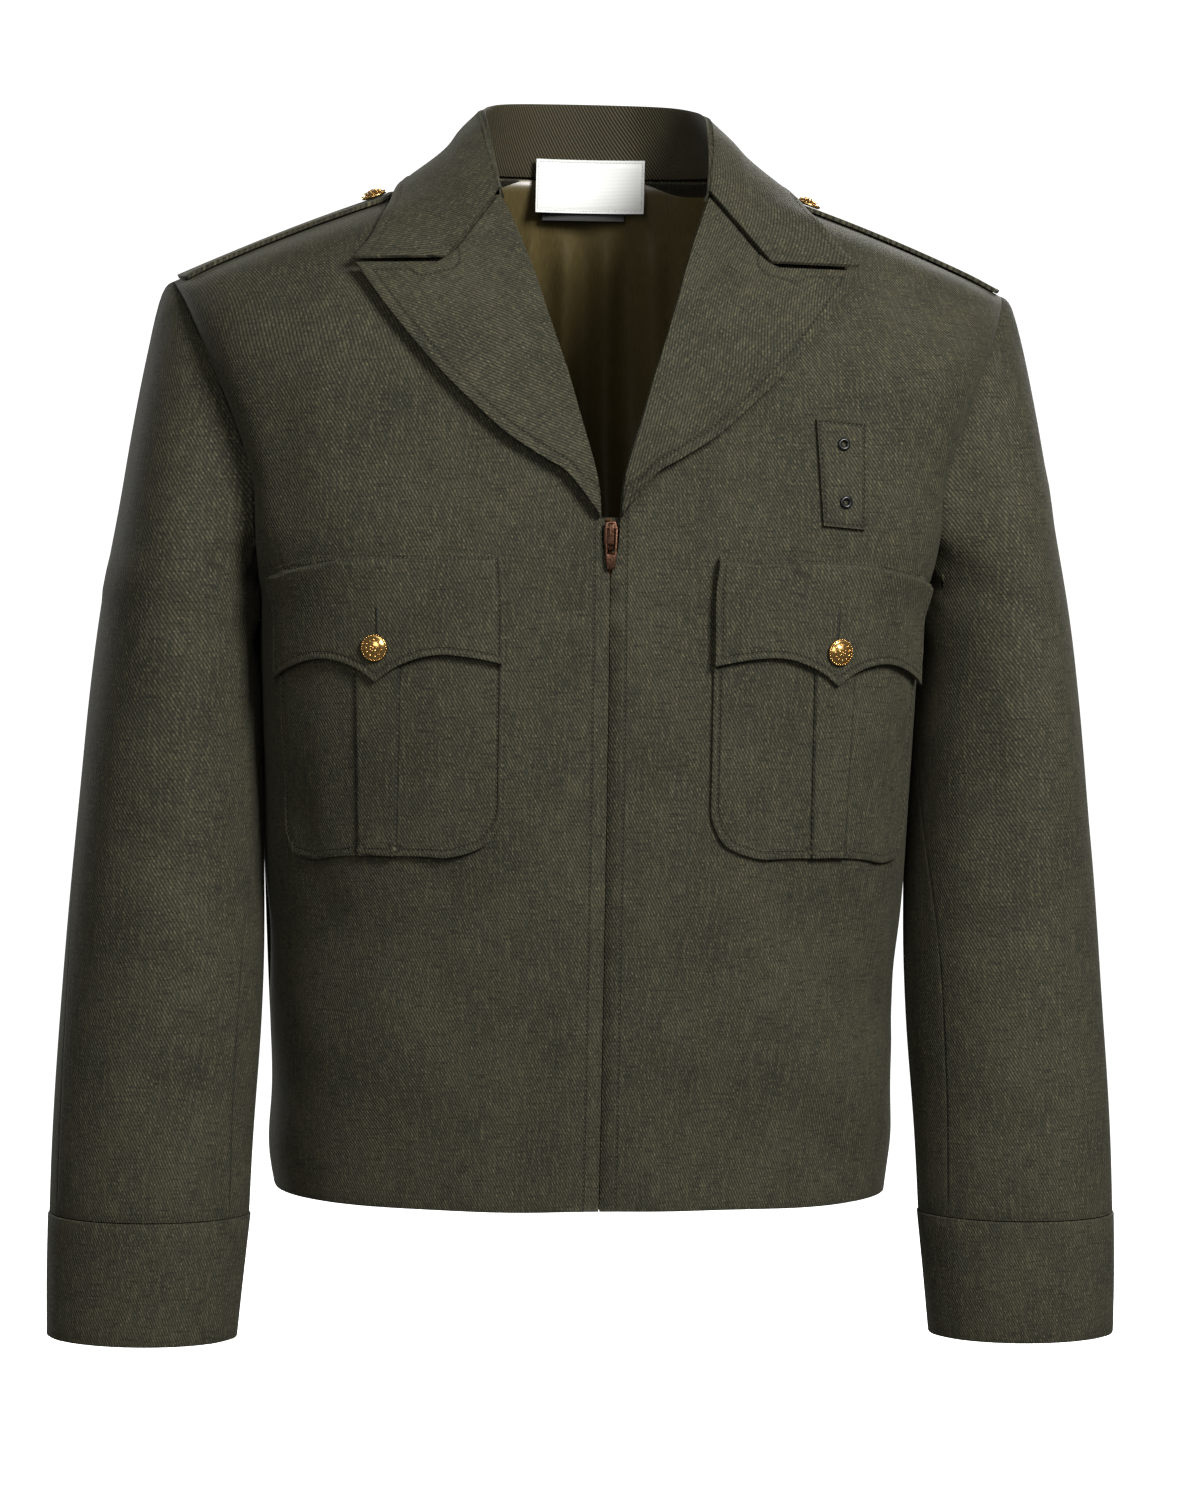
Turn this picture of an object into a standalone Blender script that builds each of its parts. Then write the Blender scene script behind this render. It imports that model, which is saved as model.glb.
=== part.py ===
"""An ike jacket, filled out with no wearer in it: cloth walls round an empty torso and two sleeves.

Metres, +Z up. The origin lies between the shoulders at the height of the neck. The jacket faces -Y, so the
wearer's left side is at +X. Each cloth piece is a wall: its outer points come from rows of a few sizes, and
the inner points lie one cloth thickness behind them. Both sides are worked out at +X, and the other side is
its mirror image.
"""

import math
from collections import namedtuple

import bmesh
import bpy
import numpy as np
from mathutils import Matrix, Vector
from mathutils.bvhtree import BVHTree

# Cloth thicknesses and the gap kept at every seam.
BODY_WALL = 0.0016
CUFF_WALL = 0.0024
COLLAR_WALL = 0.0018
LAPEL_WALL = 0.0020
BAG_WALL = 0.0012
FLAP_WALL = 0.0018
STRAP_WALL = 0.0020
LINING_WALL = 0.0010
SEAM_GAP = 0.0003
LAID_ON = 0.0006

# Rows across one half of the body, from the opening edge or the centre back to the side seam or the armhole.
# square is how square the corner of the body is: 2 is an ellipse. bow lifts the middle of a row.
BodyRow = namedtuple("BodyRow", "in_x in_y in_z out_x out_y out_z square bow")

FRONT_LOWER = [
    BodyRow(0.0010, -0.1180, -0.577, 0.1765, 0.0, -0.577, 2.5, 0.0),
    BodyRow(0.0008, -0.1235, -0.520, 0.1785, 0.0, -0.520, 2.5, 0.0),
    BodyRow(0.0008, -0.1290, -0.440, 0.1825, 0.0, -0.440, 2.6, 0.0),
    BodyRow(0.0008, -0.1335, -0.350, 0.1860, 0.0, -0.350, 2.8, 0.0),
    BodyRow(0.0009, -0.1355, -0.280, 0.1880, 0.0, -0.280, 3.2, 0.0),
    BodyRow(0.0010, -0.1355, -0.236, 0.1890, 0.0, -0.236, 3.5, 0.0),
]
FRONT_UPPER = [
    BodyRow(0.0012, -0.1350, -0.222, 0.1915, -0.0450, -0.2210, 3.0, 0.0),
    BodyRow(0.0042, -0.1345, -0.207, 0.1940, -0.0690, -0.1990, 2.7, 0.0),
    BodyRow(0.0052, -0.1335, -0.190, 0.1950, -0.0745, -0.1780, 2.6, 0.0),
    BodyRow(0.0072, -0.1318, -0.168, 0.1985, -0.0735, -0.1605, 2.6, 0.0),
    BodyRow(0.0150, -0.1295, -0.140, 0.2060, -0.0690, -0.1380, 2.5, 0.0),
    BodyRow(0.0238, -0.1270, -0.110, 0.2150, -0.0620, -0.1150, 2.4, 0.0),
    BodyRow(0.0330, -0.1190, -0.082, 0.2230, -0.0510, -0.0955, 2.4, 0.0),
    BodyRow(0.0410, -0.1080, -0.056, 0.2295, -0.0380, -0.0800, 2.4, 0.001),
    BodyRow(0.0490, -0.0930, -0.033, 0.2335, -0.0270, -0.0705, 2.4, 0.002),
    BodyRow(0.0580, -0.0750, -0.012, 0.2365, -0.0170, -0.0645, 2.4, 0.003),
    BodyRow(0.0690, -0.0380, 0.000, 0.2385, -0.0070, -0.0605, 2.4, 0.003),
    BodyRow(0.0760, 0.0050, 0.005, 0.2394, 0.0030, -0.0585, 2.4, 0.003),
]
BACK_LOWER = [
    BodyRow(0.0, 0.1120, -0.577, 0.1765, 0.0, -0.577, 2.4, 0.0),
    BodyRow(0.0, 0.1150, -0.520, 0.1785, 0.0, -0.520, 2.4, 0.0),
    BodyRow(0.0, 0.1190, -0.440, 0.1825, 0.0, -0.440, 2.5, 0.0),
    BodyRow(0.0, 0.1230, -0.350, 0.1860, 0.0, -0.350, 2.6, 0.0),
    BodyRow(0.0, 0.1255, -0.280, 0.1880, 0.0, -0.280, 2.9, 0.0),
    BodyRow(0.0, 0.1265, -0.236, 0.1890, 0.0, -0.236, 3.0, 0.0),
]
BACK_UPPER = [
    BodyRow(0.0, 0.1275, -0.208, 0.1915, 0.0450, -0.2210, 2.7, 0.0),
    BodyRow(0.0, 0.1275, -0.178, 0.1945, 0.0680, -0.1980, 2.5, 0.0),
    BodyRow(0.0, 0.1255, -0.146, 0.2000, 0.0725, -0.1700, 2.4, 0.0),
    BodyRow(0.0, 0.1200, -0.112, 0.2075, 0.0690, -0.1430, 2.4, 0.0),
    BodyRow(0.0, 0.1110, -0.078, 0.2165, 0.0600, -0.1160, 2.4, 0.0),
    BodyRow(0.0, 0.0980, -0.045, 0.2245, 0.0480, -0.0960, 2.3, 0.001),
    BodyRow(0.0, 0.0830, -0.016, 0.2300, 0.0370, -0.0820, 2.3, 0.002),
    BodyRow(0.0, 0.0685, 0.008, 0.2335, 0.0275, -0.0730, 2.2, 0.002),
    BodyRow(0.0310, 0.0640, 0.008, 0.2362, 0.0200, -0.0670, 2.2, 0.003),
    BodyRow(0.0560, 0.0470, 0.007, 0.2380, 0.0130, -0.0625, 2.3, 0.003),
    BodyRow(0.0710, 0.0260, 0.006, 0.2390, 0.0075, -0.0600, 2.4, 0.003),
    BodyRow(0.0760, 0.0050, 0.005, 0.2394, 0.0030, -0.0585, 2.4, 0.003),
]
LOWER_STEPS = 16
BODY_COLUMNS = 12
CURVE_SAMPLES = 121
TURN_SHARE = 0.4
LEAST_REACH = 0.6
SMOOTH_ANGLE = 40
BODY_FINE_STEPS = 4
BODY_FINE_COLUMNS = 60

# The largest soft folds of the body, each along a straight stretch as seen from the front or the back. A
# trough has a depth above zero and a ridge one below it. The back's other half mirrors its folds.
Fold = namedtuple("Fold", "from_x from_z to_x to_z half_width depth")
FRONT_FOLDS = [
    Fold(-0.163, -0.432, -0.085, -0.404, 0.024, 0.0046),
    Fold(-0.172, -0.552, -0.112, -0.486, 0.020, -0.0038),
    Fold(-0.118, -0.545, -0.070, -0.470, 0.026, 0.0026),
    Fold(0.166, -0.448, 0.104, -0.412, 0.026, 0.0032),
    Fold(0.172, -0.545, 0.128, -0.500, 0.022, -0.0028),
    Fold(0.060, -0.548, 0.045, -0.440, 0.026, 0.0022),
]
BACK_FOLDS = [
    Fold(0.172, -0.242, 0.148, -0.310, 0.020, 0.0040),
    Fold(0.120, -0.560, 0.100, -0.400, 0.028, 0.0040),
    Fold(0.062, -0.565, 0.055, -0.460, 0.024, -0.0030),
]

# Rings down a sleeve. in and out are the underarm and outer points seen from the front, mid_y and half_depth
# give the depth, and the two seams are angles from the underarm round by the front.
SleeveRing = namedtuple("SleeveRing", "in_x in_z out_x out_z mid_y half_depth front_seam hind_seam loose")

SLEEVE_RINGS = [
    SleeveRing(0.1925, -0.2400, 0.2480, -0.0680, 0.0000, 0.0760, 15, 196, 0.25),
    SleeveRing(0.1930, -0.2450, 0.2560, -0.1040, -0.0010, 0.0785, 15, 192, 0.60),
    SleeveRing(0.1928, -0.2500, 0.2630, -0.1450, -0.0020, 0.0800, 15, 188, 0.90),
    SleeveRing(0.1922, -0.2570, 0.2700, -0.1900, -0.0050, 0.0805, 14, 184, 1.0),
    SleeveRing(0.1916, -0.2690, 0.2775, -0.2320, -0.0080, 0.0800, 13, 180, 1.0),
    SleeveRing(0.1908, -0.2900, 0.2840, -0.2800, -0.0120, 0.0780, 12, 176, 1.0),
    SleeveRing(0.1892, -0.3250, 0.2885, -0.3250, -0.0160, 0.0745, 16, 172, 1.0),
    SleeveRing(0.1872, -0.3650, 0.2920, -0.3650, -0.0200, 0.0705, 25, 168, 1.0),
    SleeveRing(0.1856, -0.4050, 0.2955, -0.4050, -0.0245, 0.0665, 35, 165, 1.0),
    SleeveRing(0.1852, -0.4450, 0.2985, -0.4450, -0.0290, 0.0625, 41, 162, 1.0),
    SleeveRing(0.1866, -0.4850, 0.3012, -0.4850, -0.0340, 0.0585, 42, 160, 1.0),
    SleeveRing(0.1890, -0.5200, 0.3033, -0.5200, -0.0390, 0.0545, 41, 158, 1.0),
    SleeveRing(0.1912, -0.5550, 0.3048, -0.5550, -0.0430, 0.0505, 39, 157, 1.0),
    SleeveRing(0.1926, -0.5866, 0.3056, -0.5866, -0.0465, 0.0465, 38, 157, 1.0),
]
CUFF_RINGS = [
    SleeveRing(0.1918, -0.5869, 0.3064, -0.5869, -0.0466, 0.0474, 38, 157, 1.0),
    SleeveRing(0.1955, -0.6220, 0.3069, -0.6220, -0.0485, 0.0455, 38, 157, 1.0),
    SleeveRing(0.1990, -0.6570, 0.3066, -0.6560, -0.0500, 0.0435, 38, 157, 1.0),
]
FRONT_SEAM_COLUMN = 1
HIND_SEAM_COLUMN = 13
UNDERARM_CLEAR = 0.0026
SHARED_SEAM_COSINE = 0.2

# Outline of a lapel from the front: its free outer edge from the zip up to the peak, and the notch beside the
# peak. Its other edge is the roll line, where the front ends.
EdgePoint = namedtuple("EdgePoint", "x z")
LAPEL_EDGE = [
    EdgePoint(0.0085, -0.1860),
    EdgePoint(0.0237, -0.1666),
    EdgePoint(0.0384, -0.1573),
    EdgePoint(0.0577, -0.1447),
    EdgePoint(0.0779, -0.1268),
    EdgePoint(0.0991, -0.1061),
    EdgePoint(0.1225, -0.0780),
    EdgePoint(0.1385, -0.0550),
]
NOTCH = EdgePoint(0.0893, -0.0525)
LAPEL_ROWS = 12
LAPEL_COLUMNS = 6
ROLL_INSET = 0.0006
ROLL_FIRST_ROW = 2
ROLL_LAST_ROW = 10
LAPEL_ROOT_LIFT = 0.0008
LAPEL_EDGE_LIFT = 0.0050
LAPEL_LIFT_POWER = 1.3
NOTCH_POWER = 5

# Sections of the collar, from the centre back round to the lapel. seam is where the stand is sewn in, fold is
# its top edge, and leaf and edge are the middle and the free edge of the falling leaf.
CollarSection = namedtuple(
    "CollarSection", "seam_x seam_y seam_z fold_x fold_y fold_z leaf_x leaf_y leaf_z edge_x edge_y edge_z"
)
COLLAR = [
    CollarSection(0.0, 0.066, 0.009, 0.0, 0.062, 0.05, 0.0, 0.077, 0.027, 0.0, 0.0905, 0.001),
    CollarSection(0.031, 0.0612, 0.009, 0.029, 0.057, 0.0495, 0.037, 0.0705, 0.026, 0.042, 0.086, 0.0),
    CollarSection(0.055, 0.0445, 0.0082, 0.051, 0.039, 0.0475, 0.064, 0.051, 0.025, 0.076, 0.066, 0.0),
    CollarSection(0.069, 0.0225, 0.0074, 0.063, 0.016, 0.044, 0.079, 0.023, 0.024, 0.098, 0.034, 0.002),
    CollarSection(0.0725, -0.002, 0.005, 0.0658, -0.012, 0.039, 0.0845, -0.008, 0.0205, 0.109, 0.0, 0.0015),
    CollarSection(0.069, -0.028, 0.001, 0.065, -0.034, 0.03, 0.087, -0.036, 0.013, 0.1165, -0.034, -0.008),
    CollarSection(0.0632, -0.052, -0.003, 0.063, -0.056, 0.014, 0.087, -0.068, -0.009, 0.1235, -0.068, -0.027),
    CollarSection(0.056, -0.072, -0.012, 0.059, -0.076, -0.006, 0.0873, -0.106, -0.048, 0.131, -0.101, -0.0495),
]
COLLAR_STEPS = 2
FOLD_HALF = 0.0026
OUTER_CROWN_DROP = 0.8
BELOW_FOLD_SHARE = 0.55
BELOW_FOLD_LIFT = 0.3
LEAF_CLEAR = 0.0036
LEAF_FIRST = 4
LEAF_SAG = 0.0005
GORGE_GAP = 0.0034
GORGE_WAY = (0.3, 0.0, 1.0)

# Breast pockets, laid out from the point of the flap: across is along the cloth, down is below the flap's top.
POCKET_LIFT = 0.0010
POCKET_FROM_OPENING = 0.1270
POCKET_TOP_Z = -0.2105
POCKET_HALF_WIDTH = 0.0700
POCKET_DEPTH = 0.1675
POCKET_CORNER = 0.0280
POCKET_DROOP = 0.0110
POCKET_DROOP_POWER = 1.7
PLEAT_HALF_TOP = 0.0130
PLEAT_HALF_BOTTOM = 0.0105
PLEAT_RISE = 0.0014
PLEAT_STEP = 0.0008
BAG_CORNER_STEPS = (0.0, 0.04, 0.15, 0.4, 1.0)
BAG_MID = 0.0290
BAG_ROWS = 9
FLAP_SIDE_DEPTH = 0.0605
FLAP_SCALLOP_DEPTH = 0.0555
FLAP_POINT_DEPTH = 0.0710
FLAP_SCALLOP_AT = 0.0370
FLAP_SCALLOP_POWER = 0.8
FLAP_SIDE_POWER = 1.6
FLAP_SEAM_DEPTH = 0.0070
FLAP_COLUMNS = 17
FLAP_EDGE_LIFT = 0.0006
POCKET_BUTTON_DEPTH = 0.0520

# Epaulette, badge tab, buttons and eyelets.
EPAULETTE_IN_X = 0.1130
EPAULETTE_OUT_X = 0.2362
EPAULETTE_OUT_CURVE = 0.0050
EPAULETTE_HALF_IN = 0.0205
EPAULETTE_HALF_OUT = 0.0265
EPAULETTE_MID_Y = -0.0010
EPAULETTE_BUTTON_X = 0.1240
EPAULETTE_LIFT = 0.0011
EPAULETTE_POINT = 0.0105
EPAULETTE_POINT_SHARE = 0.2
EPAULETTE_STEPS = 10
EPAULETTE_COLUMNS = 7
BADGE_TOP_IN = EdgePoint(0.1141, -0.1339)
BADGE_TOP_OUT = EdgePoint(0.1427, -0.1361)
BADGE_LOW_IN = EdgePoint(0.1185, -0.1931)
BADGE_LOW_OUT = EdgePoint(0.1426, -0.1951)
EYELETS = [("eyelet_upper", EdgePoint(0.1296, -0.1480)), ("eyelet_lower", EdgePoint(0.1310, -0.1800))]
BUTTON_RADIUS = 0.0073
BUTTON_HEIGHT = 0.0042
TURNED_STEPS = 14
EYELET_RADIUS = 0.0036
EYELET_HOLE = 0.0015
EYELET_HEIGHT = 0.0010

# Zip behind the two front edges.
ZIP_TOP_Z = -0.1900
ZIP_BOTTOM_Z = -0.5760
ZIP_STOP_Z = -0.5545
TAPE_HALF_WIDTH = 0.0110
TAPE_WALL = 0.0008
CHAIN_HALF_WIDTH = 0.0026
CHAIN_RISE = 0.0012
CHAIN_TOP_INSET = 0.0010
ZIP_ROWS = 15
STOP_HEIGHT = 0.0065
STOP_SPREAD = 0.0004
STOP_WALL = 0.0010
SLIDER_WALL = 0.0034
SLIDER_ABOVE_AXIS = 0.0032
SLIDER_BELOW_AXIS = 0.0120
SLIDER_HALF_WIDTH = 0.0036
SLIDER_END_HALF = 0.0025
SLIDER_TAPER = 0.0032
ARCH_HALF_WIDTH = 0.0013
ARCH_STAND = 0.0042
ARCH_WALL = 0.0014
ARCH_ROUND = 0.0008
ARCH_SUNK = 0.0004
ARCH_TOP_INSET = 0.0006
ARCH_LOW_INSET = 0.0022
PULL_AXIS_Z = -0.1955
PULL_LENGTH = 0.0235
PULL_BAR_HALF = 0.0007
PULL_HALF_WIDTH = 0.0034
PULL_WAIST_HALF = 0.0031
PULL_TIP_HALF = 0.0021
PULL_WAIST_DROP = 0.0155
PULL_SLOT_DROP = 0.0148
PULL_CUT_DEPTH = 0.0030

# Lining inside the back, and the blank label at the neck, as (y, z) down its middle.
LINING_HALF_WIDTH = 0.1300
LINING_LOW_Z = -0.2600
LINING_BELOW_SEAM = 0.0060
LINING_COLUMNS = 25
LINING_ROWS = 9
LINING_TOP_LIFT = 0.0037
LINING_LIFT = 0.0052
LINING_FOLD = 0.0012
LINING_FOLD_TURN = 2.1
LINING_HANG_SHARE = 0.25
LABEL_HALF_WIDTH = 0.0320
LABEL_CURVE = 5.0
LABEL_LINE = [(0.0655, -0.0115), (0.0640, -0.0020), (0.0632, 0.0080), (0.0618, 0.0195)]

CLOTH = (0.052, 0.052, 0.036)
SATIN = (0.045, 0.040, 0.018)
LABEL = (0.80, 0.80, 0.78)
GOLD = (0.83, 0.55, 0.16)
COPPER = (0.45, 0.25, 0.14)
BLACK = (0.012, 0.012, 0.012)


def clear_scene():
    for old in list(bpy.data.objects):
        bpy.data.objects.remove(old, do_unlink=True)


def material(name, colour, roughness, metallic=0.0):
    made = bpy.data.materials.new(name)
    made.use_nodes = True
    shader = made.node_tree.nodes["Principled BSDF"]
    shader.inputs["Base Color"].default_value = (*colour, 1.0)
    shader.inputs["Roughness"].default_value = roughness
    shader.inputs["Metallic"].default_value = metallic
    return made


def add_object(name, bm, look):
    """Turns a bmesh into a named object whose faces point outwards."""
    if bm.calc_volume(signed=True) < 0:
        bmesh.ops.reverse_faces(bm, faces=bm.faces[:])
    mesh = bpy.data.meshes.new(name)
    bm.to_mesh(mesh)
    bm.free()
    mesh.materials.append(look)
    mesh.shade_smooth()
    mesh.set_sharp_from_angle(angle=math.radians(SMOOTH_ANGLE))
    made = bpy.data.objects.new(name, mesh)
    bpy.context.collection.objects.link(made)
    return made


def mirrored(points):
    """The same points on the other side of the jacket."""
    return np.asarray(points) * np.array([-1.0, 1.0, 1.0])


def unit(vectors):
    return vectors / np.maximum(np.linalg.norm(vectors, axis=-1, keepdims=True), 1e-12)


def catmull(rows, at):
    """A smooth value between table rows: at runs from 0 at the first row to len(rows) - 1 at the last."""
    rows = np.asarray(rows, dtype=float)
    last = len(rows) - 1
    k = min(int(at), last - 1)
    t = at - k
    before = rows[k - 1] if k > 0 else 2 * rows[0] - rows[1]
    after = rows[k + 2] if k + 2 <= last else 2 * rows[last] - rows[last - 1]
    a, b = rows[k], rows[k + 1]
    square = 2 * before - 5 * a + 4 * b - after
    cube = 3 * a - before - 3 * b + after
    return 0.5 * (2 * a + (b - before) * t + square * t**2 + cube * t**3)


def spread(curve, count):
    """Picks points along a fine curve, closer together where it turns."""
    steps = np.diff(curve, axis=0)
    lengths = np.linalg.norm(steps, axis=1)
    ways = unit(steps)
    turns = np.zeros(len(lengths))
    turns[1:] = np.arccos(np.clip((ways[1:] * ways[:-1]).sum(axis=1), -1, 1))
    weight = lengths / lengths.sum() * (1 - TURN_SHARE) + turns / max(turns.sum(), 1e-9) * TURN_SHARE
    along = np.concatenate([[0.0], np.cumsum(weight)])
    targets = np.linspace(0.0, along[-1], count)
    return np.stack([np.interp(targets, along, curve[:, axis]) for axis in range(3)], axis=1)


def body_curve(row):
    """The fine curve of one body row, a quarter of a rounded square seen from above."""
    in_x, in_y, in_z, out_x, out_y, out_z, square, bow = row
    angle = np.linspace(0.0, math.pi / 2, CURVE_SAMPLES)
    across = np.sin(angle) ** (2 / square)
    x = in_x + (out_x - in_x) * across
    y = in_y + (out_y - in_y) * (1 - np.cos(angle) ** (2 / square))
    z = in_z + (out_z - in_z) * across + bow * np.sin(math.pi * across)
    return np.stack([x, y, z], axis=1)


def body_rows(lower, upper, steps_each=1):
    """All rows of one body half: evenly spaced below the armhole, as the table gives them beside it."""
    count = LOWER_STEPS * steps_each
    rows = [catmull(lower, (len(lower) - 1) * k / count) for k in range(count)]
    armhole = [lower[-1]] + list(upper)
    span = len(armhole) - 1
    rows += [catmull(armhole, k / steps_each) for k in range(span * steps_each + 1)]
    return rows


def body_grid(lower, upper, steps_each=1, columns=BODY_COLUMNS):
    return np.array([spread(body_curve(row), columns + 1) for row in body_rows(lower, upper, steps_each)])


def grid_normals(grid, closed=False):
    """Unit normals of a grid of points, along columns crossed with along rows."""
    if closed:
        along = np.roll(grid, -1, axis=1) - np.roll(grid, 1, axis=1)
    else:
        along = np.gradient(grid, axis=1)
    up = np.gradient(grid, axis=0)
    return unit(np.cross(along, up))


def seam_normals(own, other):
    """The shared direction of two walls at their seam, lengthened so that both keep their thickness."""
    shared = unit(own + other)
    reach = np.maximum((shared * own).sum(axis=-1, keepdims=True), LEAST_REACH)
    return shared / reach


def trimmed(grid, sides):
    """Moves border points of a grid half a seam gap inwards. sides names them: 0 is first and 9 is last."""
    grid = grid.copy()
    half = SEAM_GAP / 2
    if "row0" in sides:
        grid[0] += unit(grid[1] - grid[0]) * half
    if "row9" in sides:
        grid[-1] += unit(grid[-2] - grid[-1]) * half
    if "col0" in sides:
        grid[:, 0] += unit(grid[:, 1] - grid[:, 0]) * half
    if "col9" in sides:
        grid[:, -1] += unit(grid[:, -2] - grid[:, -1]) * half
    return grid


def folded(points, normals, folds):
    """Presses soft folds into a panel, each deepest along its own stretch."""
    seen = points[..., [0, 2]]
    shift = np.zeros(points.shape[:-1])
    for fold in folds:
        start = np.array([fold.from_x, fold.from_z])
        run = np.array([fold.to_x, fold.to_z]) - start
        along = np.clip(((seen - start) @ run) / (run @ run), 0.0, 1.0)
        away = np.linalg.norm(seen - start - along[..., None] * run, axis=-1)
        shift += fold.depth * np.exp(-(away / fold.half_width) ** 2)
    return points - normals * shift[..., None]


def wall_mesh(outer, inner, closed=False, open_rows=0):
    """A closed wall between two grids of points. open_rows leaves the start of the first column open."""
    rows, columns = outer.shape[:2]
    bm = bmesh.new()
    out = [[bm.verts.new(p) for p in line] for line in outer]
    back = [[bm.verts.new(p) for p in line] for line in inner]
    last = columns if closed else columns - 1
    for r in range(rows - 1):
        for c in range(last):
            n = (c + 1) % columns
            bm.faces.new((out[r][c], out[r][n], out[r + 1][n], out[r + 1][c]))
            bm.faces.new((back[r][c], back[r + 1][c], back[r + 1][n], back[r][n]))
    for c in range(last):
        n = (c + 1) % columns
        bm.faces.new((out[0][n], out[0][c], back[0][c], back[0][n]))
        bm.faces.new((out[-1][c], out[-1][n], back[-1][n], back[-1][c]))
    if not closed:
        for r in range(rows - 1):
            if r >= open_rows:
                bm.faces.new((out[r][0], out[r + 1][0], back[r + 1][0], back[r][0]))
            bm.faces.new((out[r + 1][-1], out[r][-1], back[r][-1], back[r + 1][-1]))
    return bm


def add_wall(name, outer, normals, wall, look, closed=False):
    return add_object(name, wall_mesh(outer, outer - normals * wall, closed), look)


def add_plate(name, grid, normals, lift, wall, look):
    """A piece laid over a panel: its underside is lift above the panel's points."""
    lift = np.asarray(lift)[..., None] if np.ndim(lift) else lift
    wall = np.asarray(wall)[..., None] if np.ndim(wall) else wall
    inner = grid + normals * lift
    return add_object(name, wall_mesh(inner + normals * wall, inner), look)


class Guide:
    """The fine smooth surface of one body half, to lay pieces on. It is no object of its own."""

    def __init__(self, *grids):
        points, faces = [], []
        for grid in grids:
            start = len(points)
            rows, columns = grid.shape[:2]
            points += [Vector(p) for p in grid.reshape(-1, 3)]
            for r in range(rows - 1):
                for c in range(columns - 1):
                    k = start + r * columns + c
                    faces.append((k, k + 1, k + columns + 1, k + columns))
        self.tree = BVHTree.FromPolygons(points, faces)

    def hit(self, start, way):
        found, normal, _, _ = self.tree.ray_cast(Vector(start), Vector(way))
        normal = normal if normal.dot(Vector(way)) < 0 else -normal
        return np.array(found), np.array(normal)

    def inside_back(self, x, z):
        """The point of the back seen from inside the body, and the direction into the body."""
        point, normal = self.hit((max(abs(x), 1e-5), 0.0, z), (0, 1, 0))
        return (mirrored(point), mirrored(normal)) if x < 0 else (point, normal)

    def raised(self, point, clear):
        """The point, moved out where it lies closer than this above the surface."""
        found, normal, _, _ = self.tree.find_nearest(Vector(point))
        normal = normal if (normal.z * 0.4 + normal.y * found.y) > 0 else -normal
        above = (Vector(point) - found).dot(normal)
        return point if above >= clear else point + np.array(normal) * (clear - above)

    def front(self, x, z):
        """The point of the front at this place in the front view, and its outward direction."""
        return self.hit((x, -0.5, z), (0, 1, 0))

    def top(self, x, y):
        """The point of the shoulder at this place in the top view, and its outward direction."""
        return self.hit((x, y, 0.5), (0, 0, -1))


def softened(normals):
    """Averages the directions of neighbouring points, so that a plate laid on facets stays smooth."""
    padded = np.pad(normals, ((1, 1), (1, 1), (0, 0)), mode="edge")
    total = sum(padded[r:r + normals.shape[0], c:c + normals.shape[1]] for r in range(3) for c in range(3))
    return unit(total)


def laid_grid(places, finder):
    """Lays a grid of (a, b) places on a guide with one of its finders: points and softened directions."""
    found = [[finder(*place) for place in line] for line in places]
    points = np.array([[f[0] for f in line] for line in found])
    normals = np.array([[f[1] for f in line] for line in found])
    return points, softened(normals)


def sleeve_angles(ring, columns):
    """The angle of each column round a sleeve ring, evenly spaced within the top and the under sleeve."""
    top = np.linspace(ring.front_seam, ring.hind_seam, HIND_SEAM_COLUMN - FRONT_SEAM_COLUMN + 1)
    under_count = columns - (HIND_SEAM_COLUMN - FRONT_SEAM_COLUMN)
    under = np.linspace(ring.hind_seam, 360 + ring.front_seam, under_count + 1)
    return np.radians(np.concatenate([under[-2:-1] - 360, top, under[1:-2]]))


def sleeve_ring(ring, columns):
    """The points of one round sleeve ring."""
    angle = sleeve_angles(ring, columns)[:, None]
    near = np.array([ring.in_x, ring.mid_y, ring.in_z])
    far = np.array([ring.out_x, ring.mid_y, ring.out_z])
    centre = (near + far) / 2
    return centre + np.cos(angle) * (near - centre) - np.sin(angle) * np.array([0.0, ring.half_depth, 0.0])


def sleeve_grid(loop):
    """Rings from the armhole loop to the cuff seam, the first few still shaped like the armhole."""
    rings = [loop]
    own = loop - (loop[0] + loop[len(loop) // 2]) / 2
    for ring in SLEEVE_RINGS:
        points = sleeve_ring(ring, len(loop))
        centre = np.array([ring.in_x + ring.out_x, 2 * ring.mid_y, ring.in_z + ring.out_z]) / 2
        rings.append(centre + own * (1 - ring.loose) + (points - centre) * ring.loose)
    return np.array(rings)


def outward(grid, normals):
    """Turns ring normals away from the middle of each ring."""
    away = grid - grid.mean(axis=1, keepdims=True)
    return normals if (away * normals).sum() > 0 else -normals


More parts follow.
